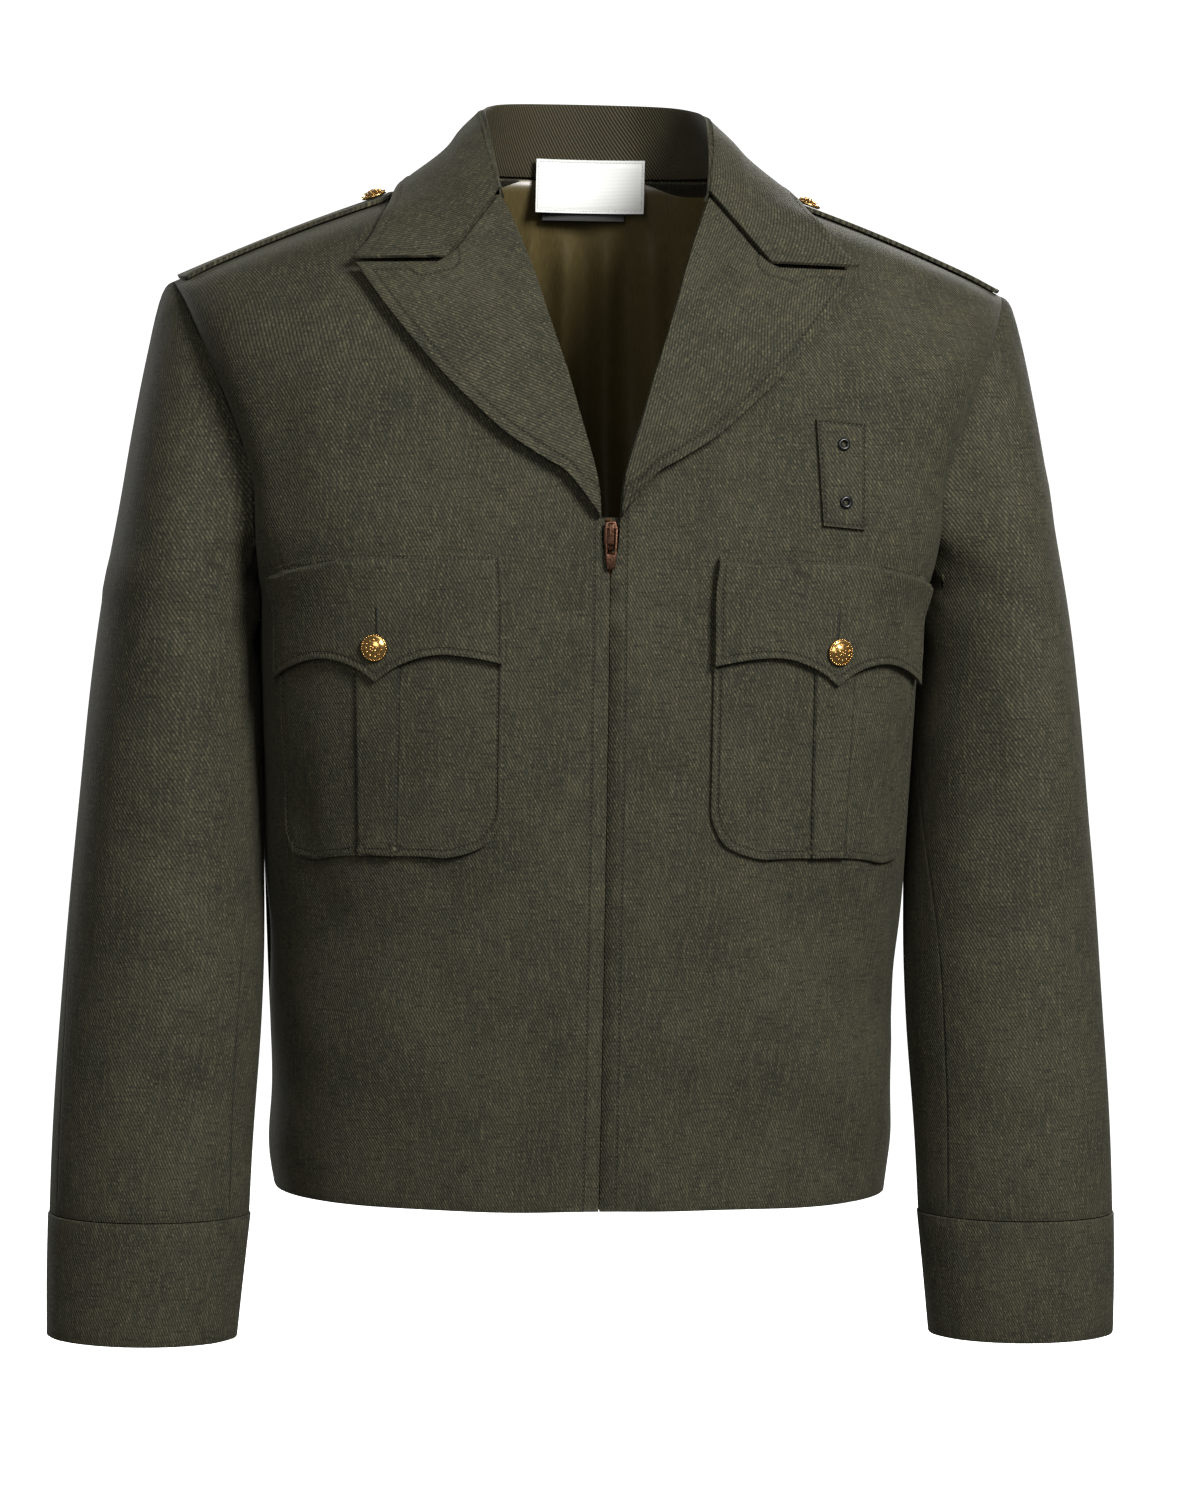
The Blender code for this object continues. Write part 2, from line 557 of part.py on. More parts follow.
def build_body(look):
    """The two fronts and the back. Returns what the other pieces are fitted to."""
    front = body_grid(FRONT_LOWER, FRONT_UPPER)
    back = body_grid(BACK_LOWER, BACK_UPPER)
    front_out = grid_normals(front)
    back_out = -grid_normals(back)
    pit = LOWER_STEPS
    loop = np.concatenate([front[pit:, -1], back[-2:pit:-1, -1]])
    loop_normals = np.concatenate([front_out[pit:, -1], back_out[-2:pit:-1, -1]])
    sleeve = sleeve_grid(loop)
    sleeve_out = outward(sleeve, grid_normals(sleeve, closed=True))

    side = front_out[:pit + 1, -1].copy()
    front_out[:pit + 1, -1] = seam_normals(side, back_out[:pit + 1, -1])
    back_out[:pit + 1, -1] = seam_normals(back_out[:pit + 1, -1], side)
    shoulder = front_out[-1].copy()
    front_out[-1] = seam_normals(shoulder, back_out[-1])
    back_out[-1] = seam_normals(back_out[-1], shoulder)

    shares = (loop_normals * sleeve_out[0]).sum(axis=1) > SHARED_SEAM_COSINE
    to_sleeve = seam_normals(loop_normals, sleeve_out[0])
    to_body = seam_normals(sleeve_out[0], loop_normals)
    rise = len(front) - 1 - pit
    for k in range(len(loop)):
        if not shares[k]:
            sleeve[0, k] += loop_normals[k] * UNDERARM_CLEAR
            continue
        sleeve_out[0, k] = to_body[k]
        if k <= rise:
            front_out[pit + k, -1] = to_sleeve[k]
        if k >= rise:
            back_out[-1 - (k - rise), -1] = to_sleeve[k]

    front_points = trimmed(front, ("row9", "col9"))
    back_points = trimmed(back, ("row9", "col9"))
    for name, turn in (("front_left", np.asarray), ("front_right", mirrored)):
        points = folded(turn(front_points), turn(front_out), FRONT_FOLDS)
        add_wall(name, points, turn(front_out), BODY_WALL, look)
    centred = back_points[:, 0, 0] == 0.0
    back_points = folded(back_points, back_out, BACK_FOLDS)
    inner = back_points - back_out * BODY_WALL
    back_points[centred, 0, 0] = 0.0
    inner[centred, 0, 0] = 0.0
    neck_row = int(centred.sum()) - 1
    bm = wall_mesh(back_points, inner, open_rows=neck_row)
    bmesh.ops.mirror(bm, geom=bm.verts[:] + bm.edges[:] + bm.faces[:], axis="X", merge_dist=1e-5)
    bmesh.ops.recalc_face_normals(bm, faces=bm.faces[:])
    add_object("back", bm, look)
    return sleeve, sleeve_out


def build_sleeves(sleeve, sleeve_out, look):
    columns = sleeve.shape[1]
    top = list(range(FRONT_SEAM_COLUMN, HIND_SEAM_COLUMN + 1))
    under = [k % columns for k in range(HIND_SEAM_COLUMN, columns + FRONT_SEAM_COLUMN + 1)]
    cuff = np.array([sleeve_ring(ring, columns) for ring in CUFF_RINGS])
    cuff_out = outward(cuff, grid_normals(cuff, closed=True))
    cuff = trimmed(cuff, ("row0",))
    for side, flip in (("left", False), ("right", True)):
        turn = mirrored if flip else np.asarray
        for name, picks in (("top_sleeve", top), ("under_sleeve", under)):
            points = trimmed(sleeve[:, picks], ("row0", "row9", "col0", "col9"))
            add_wall(f"{name}_{side}", turn(points), turn(sleeve_out[:, picks]), BODY_WALL, look)
        add_wall(f"cuff_{side}", turn(cuff), turn(cuff_out), CUFF_WALL, look, closed=True)


def roll_line():
    """The line a lapel folds on, just inside the edge of the front."""
    rows = FRONT_UPPER[ROLL_FIRST_ROW:ROLL_LAST_ROW]
    return [EdgePoint(row.in_x + ROLL_INSET, row.in_z) for row in rows]


def build_lapels(guide, look):
    """Each lapel is a patch from the roll line to its free edge, laid on the front and lifted at that edge."""
    roll = roll_line()
    places, lifts = [], []
    for r in range(LAPEL_ROWS + 1):
        rise = r / LAPEL_ROWS
        near = catmull(roll, rise * (len(roll) - 1))
        far = catmull(LAPEL_EDGE, rise * (len(LAPEL_EDGE) - 1))
        corner = rise ** NOTCH_POWER
        line, lift = [], []
        for c in range(LAPEL_COLUMNS + 1):
            out = c / LAPEL_COLUMNS
            straight = near + (far - near) * out
            to_notch, to_peak = np.array(NOTCH) - near, far - np.array(NOTCH)
            bent = near + to_notch * min(out * 2, 1) + to_peak * max(out * 2 - 1, 0)
            line.append(tuple(straight * (1 - corner) + bent * corner))
            lift.append(LAPEL_ROOT_LIFT + LAPEL_EDGE_LIFT * out ** LAPEL_LIFT_POWER)
        places.append(line)
        lifts.append(lift)
    points, normals = laid_grid(places, guide.front)
    add_plate("lapel_left", points, normals, lifts, LAPEL_WALL, look)
    add_plate("lapel_right", mirrored(points), mirrored(normals), lifts, LAPEL_WALL, look)
    return points[-1] + normals[-1] * (np.array(lifts[-1])[:, None] + LAPEL_WALL)


def collar_section(row):
    """Points across the collar on its visible side: up the stand, over the fold and down the leaf."""
    seam, fold, leaf, edge = (np.array(row[k:k + 3]) for k in (0, 3, 6, 9))
    across = unit((leaf - seam) * np.array([1.0, 1.0, 0.0])) * FOLD_HALF
    top = np.array([0.0, 0.0, 1.0])
    inner_top = fold - across - top * FOLD_HALF
    outer_top = fold + across - top * FOLD_HALF * OUTER_CROWN_DROP
    below_fold = outer_top + (leaf - outer_top) * BELOW_FOLD_SHARE
    below_fold += (across + top * FOLD_HALF) * BELOW_FOLD_LIFT
    above_edge = (leaf + edge) / 2 - top * LEAF_SAG
    crown = [fold - across / 2 - top * LEAF_SAG, fold + across / 2 - top * LEAF_SAG]
    return np.array([seam, inner_top, *crown, outer_top, below_fold, leaf, above_edge, edge])


def build_collar(guide, gorge, look):
    """The leaf ends along the top edge of the lapel, and elsewhere it rests clear of the shoulder."""
    sections = np.array([collar_section(row) for row in COLLAR])
    steps = np.linspace(0, len(gorge) - 1, sections.shape[1] - LEAF_FIRST)
    ends = np.stack([np.interp(steps, range(len(gorge)), gorge[:, axis]) for axis in range(3)], axis=1)
    sections[-1, LEAF_FIRST:] = ends + np.array(GORGE_WAY) * GORGE_GAP
    count = (len(sections) - 1) * COLLAR_STEPS + 1
    right = np.array([catmull(sections, k / COLLAR_STEPS) for k in range(count)])
    for line in right[:-1]:
        for k in range(LEAF_FIRST + 1, len(line)):
            line[k] = guide.raised(line[k], LEAF_CLEAR)
    grid = np.concatenate([mirrored(right[:0:-1]), right])
    normals = grid_normals(grid)
    away = grid[:, -1] - grid[:, 0]
    normals = normals if (away * normals[:, -1]).sum() > 0 else -normals
    add_wall("collar", grid, normals, COLLAR_WALL, look)


def pocket_x(guide_rows, z, along):
    """How far out in X a point lies that is this far along the cloth from the opening edge."""
    heights = [row[2] for row in guide_rows]
    row = guide_rows[int(np.argmin(np.abs(np.array(heights) - z)))]
    curve = body_curve(row)
    lengths = np.concatenate([[0.0], np.cumsum(np.linalg.norm(np.diff(curve, axis=0), axis=1))])
    return float(np.interp(along, lengths, curve[:, 0]))


def flap_depth(across):
    """How far down the flap's edge hangs: a scallop each side of a centre point."""
    out = abs(across)
    if out < FLAP_SCALLOP_AT:
        rise = math.sin(math.pi / 2 * out / FLAP_SCALLOP_AT) ** FLAP_SCALLOP_POWER
        return FLAP_POINT_DEPTH + (FLAP_SCALLOP_DEPTH - FLAP_POINT_DEPTH) * rise
    fall = (out - FLAP_SCALLOP_AT) / (POCKET_HALF_WIDTH - FLAP_SCALLOP_AT)
    return FLAP_SCALLOP_DEPTH + (FLAP_SIDE_DEPTH - FLAP_SCALLOP_DEPTH) * fall ** FLAP_SIDE_POWER


def bag_depth(across):
    """How far down the pocket bag reaches: straight, with round corners."""
    into = abs(across) - (POCKET_HALF_WIDTH - POCKET_CORNER)
    if into <= 0:
        return POCKET_DEPTH
    return POCKET_DEPTH - POCKET_CORNER + math.sqrt(max(POCKET_CORNER ** 2 - into ** 2, 0.0))


def pocket_place(guide_rows, across, down):
    droop = POCKET_DROOP * max(across / POCKET_HALF_WIDTH, 0.0) ** POCKET_DROOP_POWER
    z = POCKET_TOP_Z - droop - down
    return pocket_x(guide_rows, z, POCKET_FROM_OPENING + across), z


def build_pockets(guide, guide_rows, look):
    half = POCKET_HALF_WIDTH
    side = [half - POCKET_CORNER * k for k in BAG_CORNER_STEPS] + [BAG_MID]
    places, walls = [], []
    for f in np.linspace(0.0, 1.0, BAG_ROWS):
        pleat_half = PLEAT_HALF_TOP + (PLEAT_HALF_BOTTOM - PLEAT_HALF_TOP) * f
        beside = pleat_half + PLEAT_STEP
        on_pleat = [pleat_half * k for k in (-1.0, -0.5, 0.0, 0.5, 1.0)]
        line, wall = [], []
        for across in [-s for s in side] + [-beside] + on_pleat + [beside] + side[::-1]:
            depth = FLAP_SEAM_DEPTH + (bag_depth(across) - FLAP_SEAM_DEPTH) * f
            line.append(pocket_place(guide_rows, across, depth))
            wall.append(BAG_WALL + (PLEAT_RISE if across in on_pleat else 0.0))
        places.append(line)
        walls.append(wall)
    points, normals = laid_grid(places, guide.front)
    add_plate("pocket_left", points, normals, POCKET_LIFT, walls, look)
    add_plate("pocket_right", mirrored(points), mirrored(normals), POCKET_LIFT, walls, look)


def build_flaps(guide, guide_rows, look):
    columns = np.linspace(-POCKET_HALF_WIDTH, POCKET_HALF_WIDTH, FLAP_COLUMNS)
    clear = POCKET_LIFT + BAG_WALL + PLEAT_RISE + 2 * SEAM_GAP
    downs = [(0.0, POCKET_LIFT), (0.04, POCKET_LIFT)] + [(f, clear) for f in (0.085, 0.35, 0.6, 0.8)]
    downs.append((1.0, clear + FLAP_EDGE_LIFT))
    places = [[pocket_place(guide_rows, a, flap_depth(a) * f) for a in columns] for f, _ in downs]
    lifts = [[lift] * len(columns) for _, lift in downs]
    points, normals = laid_grid(places, guide.front)
    add_plate("pocket_flap_left", points, normals, lifts, FLAP_WALL, look)
    add_plate("pocket_flap_right", mirrored(points), mirrored(normals), lifts, FLAP_WALL, look)
    x, z = pocket_place(guide_rows, 0.0, POCKET_BUTTON_DEPTH)
    spot, out = guide.front(x, z)
    return spot + out * (clear + FLAP_EDGE_LIFT / 2 + FLAP_WALL + SEAM_GAP), out


def turned_profile(profile, segments):
    """A closed solid turned round Z from (radius, height) points that start and end on the axis or meet."""
    bm = bmesh.new()
    points = [bm.verts.new((r, 0.0, h)) for r, h in profile]
    geom = points + [bm.edges.new(pair) for pair in zip(points, points[1:])]
    turn = 2 * math.pi
    bmesh.ops.spin(bm, geom=geom, axis=(0, 0, 1), cent=(0, 0, 0), angle=turn, steps=segments, use_merge=True)
    bmesh.ops.remove_doubles(bm, verts=bm.verts[:], dist=1e-6)
    bmesh.ops.recalc_face_normals(bm, faces=bm.faces[:])
    return bm


def seated(bm, spot, out):
    """Stands a turned piece on a spot, with its axis along out."""
    turn = Vector((0, 0, 1)).rotation_difference(Vector(out)).to_matrix().to_4x4()
    bm.transform(Matrix.Translation(Vector(spot)) @ turn)
    return bm


def button_profile():
    shares = [(0, 0), (0.86, 0), (1, 0.2), (0.97, 0.42), (0.7, 0.8), (0.3, 0.97), (0, 1)]
    return [(BUTTON_RADIUS * out, BUTTON_HEIGHT * up) for out, up in shares]


def build_buttons(name, spot, out, look):
    for side, place, way in (("left", spot, out), ("right", mirrored(spot), mirrored(out))):
        bm = seated(turned_profile(button_profile(), TURNED_STEPS), place, way)
        add_object(f"{name}_{side}", bm, look)


def build_epaulettes(guide, look):
    """A strap on the shoulder from the sleeve seam to a rounded point at the collar."""
    across = np.linspace(-1.0, 1.0, EPAULETTE_COLUMNS)
    places = []
    for f in np.linspace(0.0, 1.0, EPAULETTE_STEPS):
        line = []
        for a in across:
            half = EPAULETTE_HALF_IN + (EPAULETTE_HALF_OUT - EPAULETTE_HALF_IN) * f
            point = EPAULETTE_POINT * a * a * max(1 - f / EPAULETTE_POINT_SHARE, 0.0)
            end = EPAULETTE_OUT_X - EPAULETTE_OUT_CURVE * a * a
            x = EPAULETTE_IN_X + point + (end - EPAULETTE_IN_X) * f
            line.append((x, EPAULETTE_MID_Y + half * a))
        places.append(line)
    points, normals = laid_grid(places, guide.top)
    add_plate("epaulette_left", points, normals, EPAULETTE_LIFT, STRAP_WALL, look)
    add_plate("epaulette_right", mirrored(points), mirrored(normals), EPAULETTE_LIFT, STRAP_WALL, look)
    spot, out = guide.top(EPAULETTE_BUTTON_X, EPAULETTE_MID_Y)
    return spot + out * (EPAULETTE_LIFT + STRAP_WALL + 2 * SEAM_GAP), out


def build_badge_tab(guide, cloth, black):
    tops, lows = (BADGE_TOP_IN, BADGE_TOP_OUT), (BADGE_LOW_IN, BADGE_LOW_OUT)
    places = []
    for f in np.linspace(0.0, 1.0, 6):
        edge_in = np.array(tops[0]) * (1 - f) + np.array(lows[0]) * f
        edge_out = np.array(tops[1]) * (1 - f) + np.array(lows[1]) * f
        places.append([tuple(edge_in * (1 - a) + edge_out * a) for a in np.linspace(0.0, 1.0, 4)])
    points, normals = laid_grid(places, guide.front)
    add_plate("badge_tab", points, normals, LAID_ON, BODY_WALL, cloth)
    for name, place in EYELETS:
        spot, out = guide.front(*place)
        r, hole, h = EYELET_RADIUS, EYELET_HOLE, EYELET_HEIGHT
        ring = [(hole, 0), (r, 0), (r * 0.96, h * 0.6), (r * 0.7, h), (hole * 1.3, h * 0.75), (hole, 0)]
        bm = seated(turned_profile(ring, TURNED_STEPS), spot + out * (LAID_ON + BODY_WALL + 2 * SEAM_GAP), out)
        add_object(name, bm, black)


def box_mesh(low, high):
    """A box between two corners."""
    bm = bmesh.new()
    size = Vector(high) - Vector(low)
    place = Matrix.Translation((Vector(high) + Vector(low)) / 2) @ Matrix.Diagonal((*size, 1.0))
    bmesh.ops.create_cube(bm, size=1.0, matrix=place)
    return bm


def front_y(front_rows, z):
    """How far forward the opening edge lies at this height."""
    heights = np.array([row[2] for row in front_rows])
    depths = np.array([row[1] for row in front_rows])
    return float(np.interp(z, heights, depths))


def build_zip(front_rows, cloth, metal):
    """Tape and chain follow the opening edge, just behind the two fronts."""
    levels = np.linspace(ZIP_BOTTOM_Z, ZIP_TOP_Z, ZIP_ROWS)
    chain_levels = np.linspace(ZIP_STOP_Z, ZIP_TOP_Z - CHAIN_TOP_INSET, ZIP_ROWS)
    behind = BODY_WALL + 2 * SEAM_GAP

    def strip(heights, half, rise, back):
        lines = [(z, front_y(front_rows, z) + behind + rise) for z in heights]
        outer = np.array([[(x, y, z) for x in (-half, half)] for z, y in lines])
        inner = outer + np.array([0.0, back, 0.0])
        return wall_mesh(outer, inner)

    add_object("zip_chain", strip(chain_levels, CHAIN_HALF_WIDTH, 0.0, CHAIN_RISE), metal)
    add_object("zip_tape", strip(levels, TAPE_HALF_WIDTH, CHAIN_RISE + SEAM_GAP, TAPE_WALL), cloth)
    y = front_y(front_rows, ZIP_STOP_Z - STOP_HEIGHT / 2) + behind
    half = CHAIN_HALF_WIDTH + STOP_SPREAD
    low = (-half, y, ZIP_STOP_Z - SEAM_GAP - STOP_HEIGHT)
    high = (half, y + STOP_WALL, ZIP_STOP_Z - SEAM_GAP)
    add_object("zip_stop", box_mesh(low, high), metal)


def prism(outline, way):
    """A flat piece: an outline of points, pushed along way."""
    bm = bmesh.new()
    face = bm.faces.new([bm.verts.new(point) for point in outline])
    made = bmesh.ops.extrude_face_region(bm, geom=[face])
    moved = [g for g in made["geom"] if isinstance(g, bmesh.types.BMVert)]
    bmesh.ops.translate(bm, verts=moved, vec=way)
    bmesh.ops.recalc_face_normals(bm, faces=bm.faces[:])
    return bm


def boolean(base, other, operation):
    """Unites a piece with a helper, or cuts the helper out of it."""
    other.hide_render = True
    other.display_type = "WIRE"
    change = base.modifiers.new(other.name, "BOOLEAN")
    change.operation = operation
    change.solver = "EXACT"
    change.object = other


def both_sides(half_outline):
    """A symmetric outline from the (x, z) points of its +X half, top to bottom."""
    return half_outline + [(-x, z) for x, z in reversed(half_outline)]


def build_slider(front_rows, metal):
    """The slider on the chain, an arch over it, and the pull tab whose top bar hangs under the arch."""
    top, low = PULL_AXIS_Z + SLIDER_ABOVE_AXIS, PULL_AXIS_Z - SLIDER_BELOW_AXIS
    y = min(front_y(front_rows, top), front_y(front_rows, low)) + BODY_WALL + SEAM_GAP
    plate_front = y - SLIDER_WALL
    outline = both_sides([
        (SLIDER_END_HALF, top),
        (SLIDER_HALF_WIDTH, top - SLIDER_TAPER),
        (SLIDER_HALF_WIDTH, low + SLIDER_TAPER),
        (SLIDER_END_HALF, low),
    ])
    plate = prism([(x, y, z) for x, z in outline], (0, plate_front - y, 0))
    slider = add_object("zip_slider", plate, metal)

    root, face = plate_front + ARCH_SUNK, plate_front - ARCH_STAND
    under = face + ARCH_WALL
    high, foot = top - ARCH_TOP_INSET, low + ARCH_LOW_INSET
    side = [
        (root, high),
        (face + ARCH_ROUND, high),
        (face, high - ARCH_ROUND),
        (face, foot + ARCH_ROUND),
        (face + ARCH_ROUND, foot),
        (root, foot),
        (root, foot + ARCH_WALL),
        (under, foot + ARCH_WALL),
        (under, high - ARCH_WALL),
        (root, high - ARCH_WALL),
    ]
    arch = prism([(-ARCH_HALF_WIDTH, a, b) for a, b in side], (2 * ARCH_HALF_WIDTH, 0, 0))
    boolean(slider, add_object("slider_arch", arch, metal), "UNION")

    axis = bpy.data.objects.new("pull_axis", None)
    bpy.context.collection.objects.link(axis)
    axis.location = (0.0, (plate_front + under) / 2, PULL_AXIS_Z)
    tab = both_sides([
        (PULL_HALF_WIDTH, PULL_BAR_HALF),
        (PULL_WAIST_HALF, -PULL_WAIST_DROP),
        (PULL_TIP_HALF, PULL_BAR_HALF - PULL_LENGTH),
    ])
    plate = prism([(x, PULL_BAR_HALF, z) for x, z in tab], (0, -2 * PULL_BAR_HALF, 0))
    pull = add_object("zip_pull", plate, metal)
    low_corner = (-PULL_TIP_HALF, -PULL_CUT_DEPTH, -PULL_SLOT_DROP)
    high_corner = (PULL_TIP_HALF, PULL_CUT_DEPTH, -PULL_BAR_HALF)
    slot = add_object("pull_slot", box_mesh(low_corner, high_corner), metal)
    boolean(pull, slot, "DIFFERENCE")
    pull.parent = axis
    slot.parent = axis


def build_lining(guide, look):
    """The lining hangs inside the back from the neck and shoulder seams, with soft upright folds."""
    shoulder = FRONT_UPPER[-1]
    slope = (shoulder.out_z - shoulder.in_z) / (shoulder.out_x - shoulder.in_x)
    across = np.linspace(-LINING_HALF_WIDTH, LINING_HALF_WIDTH, LINING_COLUMNS)
    tops = shoulder.in_z - LINING_BELOW_SEAM + slope * np.maximum(np.abs(across) - shoulder.in_x, 0.0)
    downs = np.linspace(0.0, 1.0, LINING_ROWS)
    places = [[(x, top + (LINING_LOW_Z - top) * f) for x, top in zip(across, tops)] for f in downs]
    points, inward = laid_grid(places, guide.inside_back)
    waves = LINING_FOLD * np.sin(LINING_FOLD_TURN * np.arange(LINING_COLUMNS))
    hang = LINING_TOP_LIFT + (LINING_LIFT - LINING_TOP_LIFT) * np.minimum(downs / LINING_HANG_SHARE, 1.0)
    lift = hang[:, None] + waves[None, :] * downs[:, None]
    add_plate("lining_back", points, inward, lift, LINING_WALL, look)


def build_label(look):
    """A blank label over the neck seam, curved with the neck."""
    across = np.linspace(-LABEL_HALF_WIDTH, LABEL_HALF_WIDTH, 9)
    grid = np.array([[(x, y - LABEL_CURVE * x * x, z) for x in across] for y, z in LABEL_LINE])
    normals = -np.abs(grid_normals(grid)) * np.array([0.0, 1.0, 0.0])
    add_wall("neck_label", grid, unit(normals), LINING_WALL, look)


def main():
    clear_scene()
    cloth = material("olive_gabardine", CLOTH, 0.9)
    satin = material("olive_satin_lining", SATIN, 0.35)
    white = material("blank_woven_label", LABEL, 0.7)
    gold = material("gilt_brass_button", GOLD, 0.25, 1.0)
    copper = material("antique_copper_zip", COPPER, 0.35, 1.0)
    black = material("black_enamel_eyelet", BLACK, 0.3, 0.6)

    sleeve, sleeve_out = build_body(cloth)
    build_sleeves(sleeve, sleeve_out, cloth)

    front_fine = body_grid(FRONT_LOWER, FRONT_UPPER, BODY_FINE_STEPS, BODY_FINE_COLUMNS)
    back_fine = body_grid(BACK_LOWER, BACK_UPPER, BODY_FINE_STEPS, BODY_FINE_COLUMNS)
    guide = Guide(front_fine, back_fine)
    front_rows = body_rows(FRONT_LOWER, FRONT_UPPER, BODY_FINE_STEPS)
    gorge = build_lapels(guide, cloth)
    build_collar(guide, gorge, cloth)
    build_pockets(guide, front_rows, cloth)
    build_buttons("pocket_button", *build_flaps(guide, front_rows, cloth), gold)
    build_buttons("epaulette_button", *build_epaulettes(guide, cloth), gold)
    build_badge_tab(guide, cloth, black)
    build_zip(front_rows, cloth, copper)
    build_slider(front_rows, copper)
    build_lining(guide, satin)
    build_label(white)


main()
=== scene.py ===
# %% [markdown]
# # An ike jacket, cloth by cloth
# A short uniform jacket stands filled out, with no wearer in it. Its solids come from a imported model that
# carries the sizes, and this script dresses them: every cloth wall becomes a finer thin shell on the same
# form, with soft creases, topstitching and a woven finish. The metal parts get rounded edges and relief.

import math
from collections import namedtuple

import bmesh
import bpy
import numpy as np
from mathutils import Matrix, Vector
from mathutils.kdtree import KDTree


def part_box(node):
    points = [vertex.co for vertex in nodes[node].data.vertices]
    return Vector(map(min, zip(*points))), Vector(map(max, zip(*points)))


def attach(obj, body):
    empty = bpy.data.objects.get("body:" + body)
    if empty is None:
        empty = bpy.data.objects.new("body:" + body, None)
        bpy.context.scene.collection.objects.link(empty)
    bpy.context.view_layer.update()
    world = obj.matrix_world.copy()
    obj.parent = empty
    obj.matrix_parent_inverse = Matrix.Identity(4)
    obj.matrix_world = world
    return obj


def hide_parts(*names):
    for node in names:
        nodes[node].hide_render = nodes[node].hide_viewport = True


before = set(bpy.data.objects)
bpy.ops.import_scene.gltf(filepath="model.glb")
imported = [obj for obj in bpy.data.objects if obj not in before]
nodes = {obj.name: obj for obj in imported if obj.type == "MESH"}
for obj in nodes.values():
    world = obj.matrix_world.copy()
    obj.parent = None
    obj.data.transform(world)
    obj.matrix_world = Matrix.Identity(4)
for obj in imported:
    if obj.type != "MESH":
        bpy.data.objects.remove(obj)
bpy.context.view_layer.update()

# %% [markdown]
# ## Colours and nodes
# A colour is written as an sRGB hex value, but shaders add up light, so they want it linear. One function
# turns it. One more function adds a shader node with its own settings and with values or links on its inputs,
# which keeps a node tree readable as a recipe, top to bottom. Two short ones mix two colours and turn a
# height into relief.

# %% Colour and node helpers
MM = 0.001


def linear(code):
    """An sRGB hex colour as the linear values that a shader works with."""
    parts = [int(code[k:k + 2], 16) / 255 for k in (1, 3, 5)]
    return tuple(c / 12.92 if c <= 0.04045 else ((c + 0.055) / 1.055) ** 2.4 for c in parts) + (1.0,)


def add_node(tree, kind, settings=None, inputs=None):
    """Adds a node. An input given a socket is linked to it, and any other value is set on the input."""
    made = tree.nodes.new("ShaderNode" + kind)
    for name, value in (settings or {}).items():
        setattr(made, name, value)
    for key, value in (inputs or {}).items():
        if isinstance(value, bpy.types.NodeSocket):
            tree.links.new(value, made.inputs[key])
        else:
            made.inputs[key].default_value = value
    return made


def new_material(name):
    """An empty material with its output, ready for its shader."""
    made = bpy.data.materials.new(name)
    made.use_nodes = True
    made.node_tree.nodes.clear()
    return made, made.node_tree


def finish_material(tree, shader):
    out = add_node(tree, "OutputMaterial")
    tree.links.new(shader.outputs[0], out.inputs["Surface"])


def mixed(tree, share, low, high):
    """One colour where share is 0 and another where it is 1."""
    return add_node(tree, "Mix", {"data_type": "RGBA"}, {0: share, 6: low, 7: high}).outputs[2]


def relief(tree, height, strength, depth):
    """The shading normal of a surface that rises by depth where height is 1."""
    bump = add_node(tree, "Bump", None, {"Strength": strength, "Distance": depth, "Height": height})
    return bump.outputs[0]


print("mid cloth tone", [round(c, 3) for c in linear("#3c3d31")])

# %% [markdown]
# ## The camera
# The picture was taken from just left of straight ahead and a little above the chest, from far enough away
# that the sleeves barely shrink. The camera goes to that place first, so that each piece can be judged as
# it is made. A slight roll stands for the jacket's own lean.

# %% Camera
IMAGE_WIDTH = 1200
SENSOR = 36.0
FOCAL_PIXELS = 4655.0
CAMERA_TARGET = Vector((0.009, 0.0, -0.325))
CAMERA_DISTANCE = 2.7
CAMERA_AZIMUTH = math.radians(-5.7)
CAMERA_ELEVATION = math.radians(3.0)
CAMERA_ROLL = math.radians(0.75)


def place_camera():
    data = bpy.data.cameras.new("camera")
    data.sensor_width = SENSOR
    data.sensor_fit = "HORIZONTAL"
    data.lens = FOCAL_PIXELS * SENSOR / IMAGE_WIDTH
    data.clip_end = 50.0
    made = bpy.data.objects.new("camera", data)
    bpy.context.scene.collection.objects.link(made)
    flat = math.cos(CAMERA_ELEVATION)
    back = Vector((math.sin(CAMERA_AZIMUTH) * flat, -math.cos(CAMERA_AZIMUTH) * flat,
                   math.sin(CAMERA_ELEVATION)))
    made.location = CAMERA_TARGET + back * CAMERA_DISTANCE
    turn = (-back).to_track_quat("-Z", "Y").to_matrix() @ Matrix.Rotation(CAMERA_ROLL, 3, "Z")
    made.rotation_euler = turn.to_euler()
    bpy.context.scene.camera = made
    return made


camera = place_camera()
print("camera at", [round(v, 3) for v in camera.location], "lens", round(camera.data.lens, 1))

# %% [markdown]
# ## Studio: floor, backdrop and light
# A product photographer hangs a white sweep behind the garment and lights it from large soft boxes. Here
# the sweep is one profile spun all the way round, like a shallow bowl, so that it is the same from every
# side. The world gives a weak even fill, and soft boxes shape the cloth: the strongest stands high on the
# front right, and two more stand behind for the back.

# %% Backdrop
FLOOR_Z = -1.05
SWEEP_PROFILE = [(0.0, 0.0), (9.0, 0.0), (10.6, 0.3), (11.6, 1.2), (12.0, 2.6), (12.1, 9.0)]
SWEEP_STEPS = 64
PAPER_GLOW = 0.98
WELD = 0.01 * MM


def mesh_of(bm, name):
    """What was built in bm as a mesh. It frees bm."""
    mesh = bpy.data.meshes.new(name)
    bm.to_mesh(mesh)
    bm.free()
    return mesh


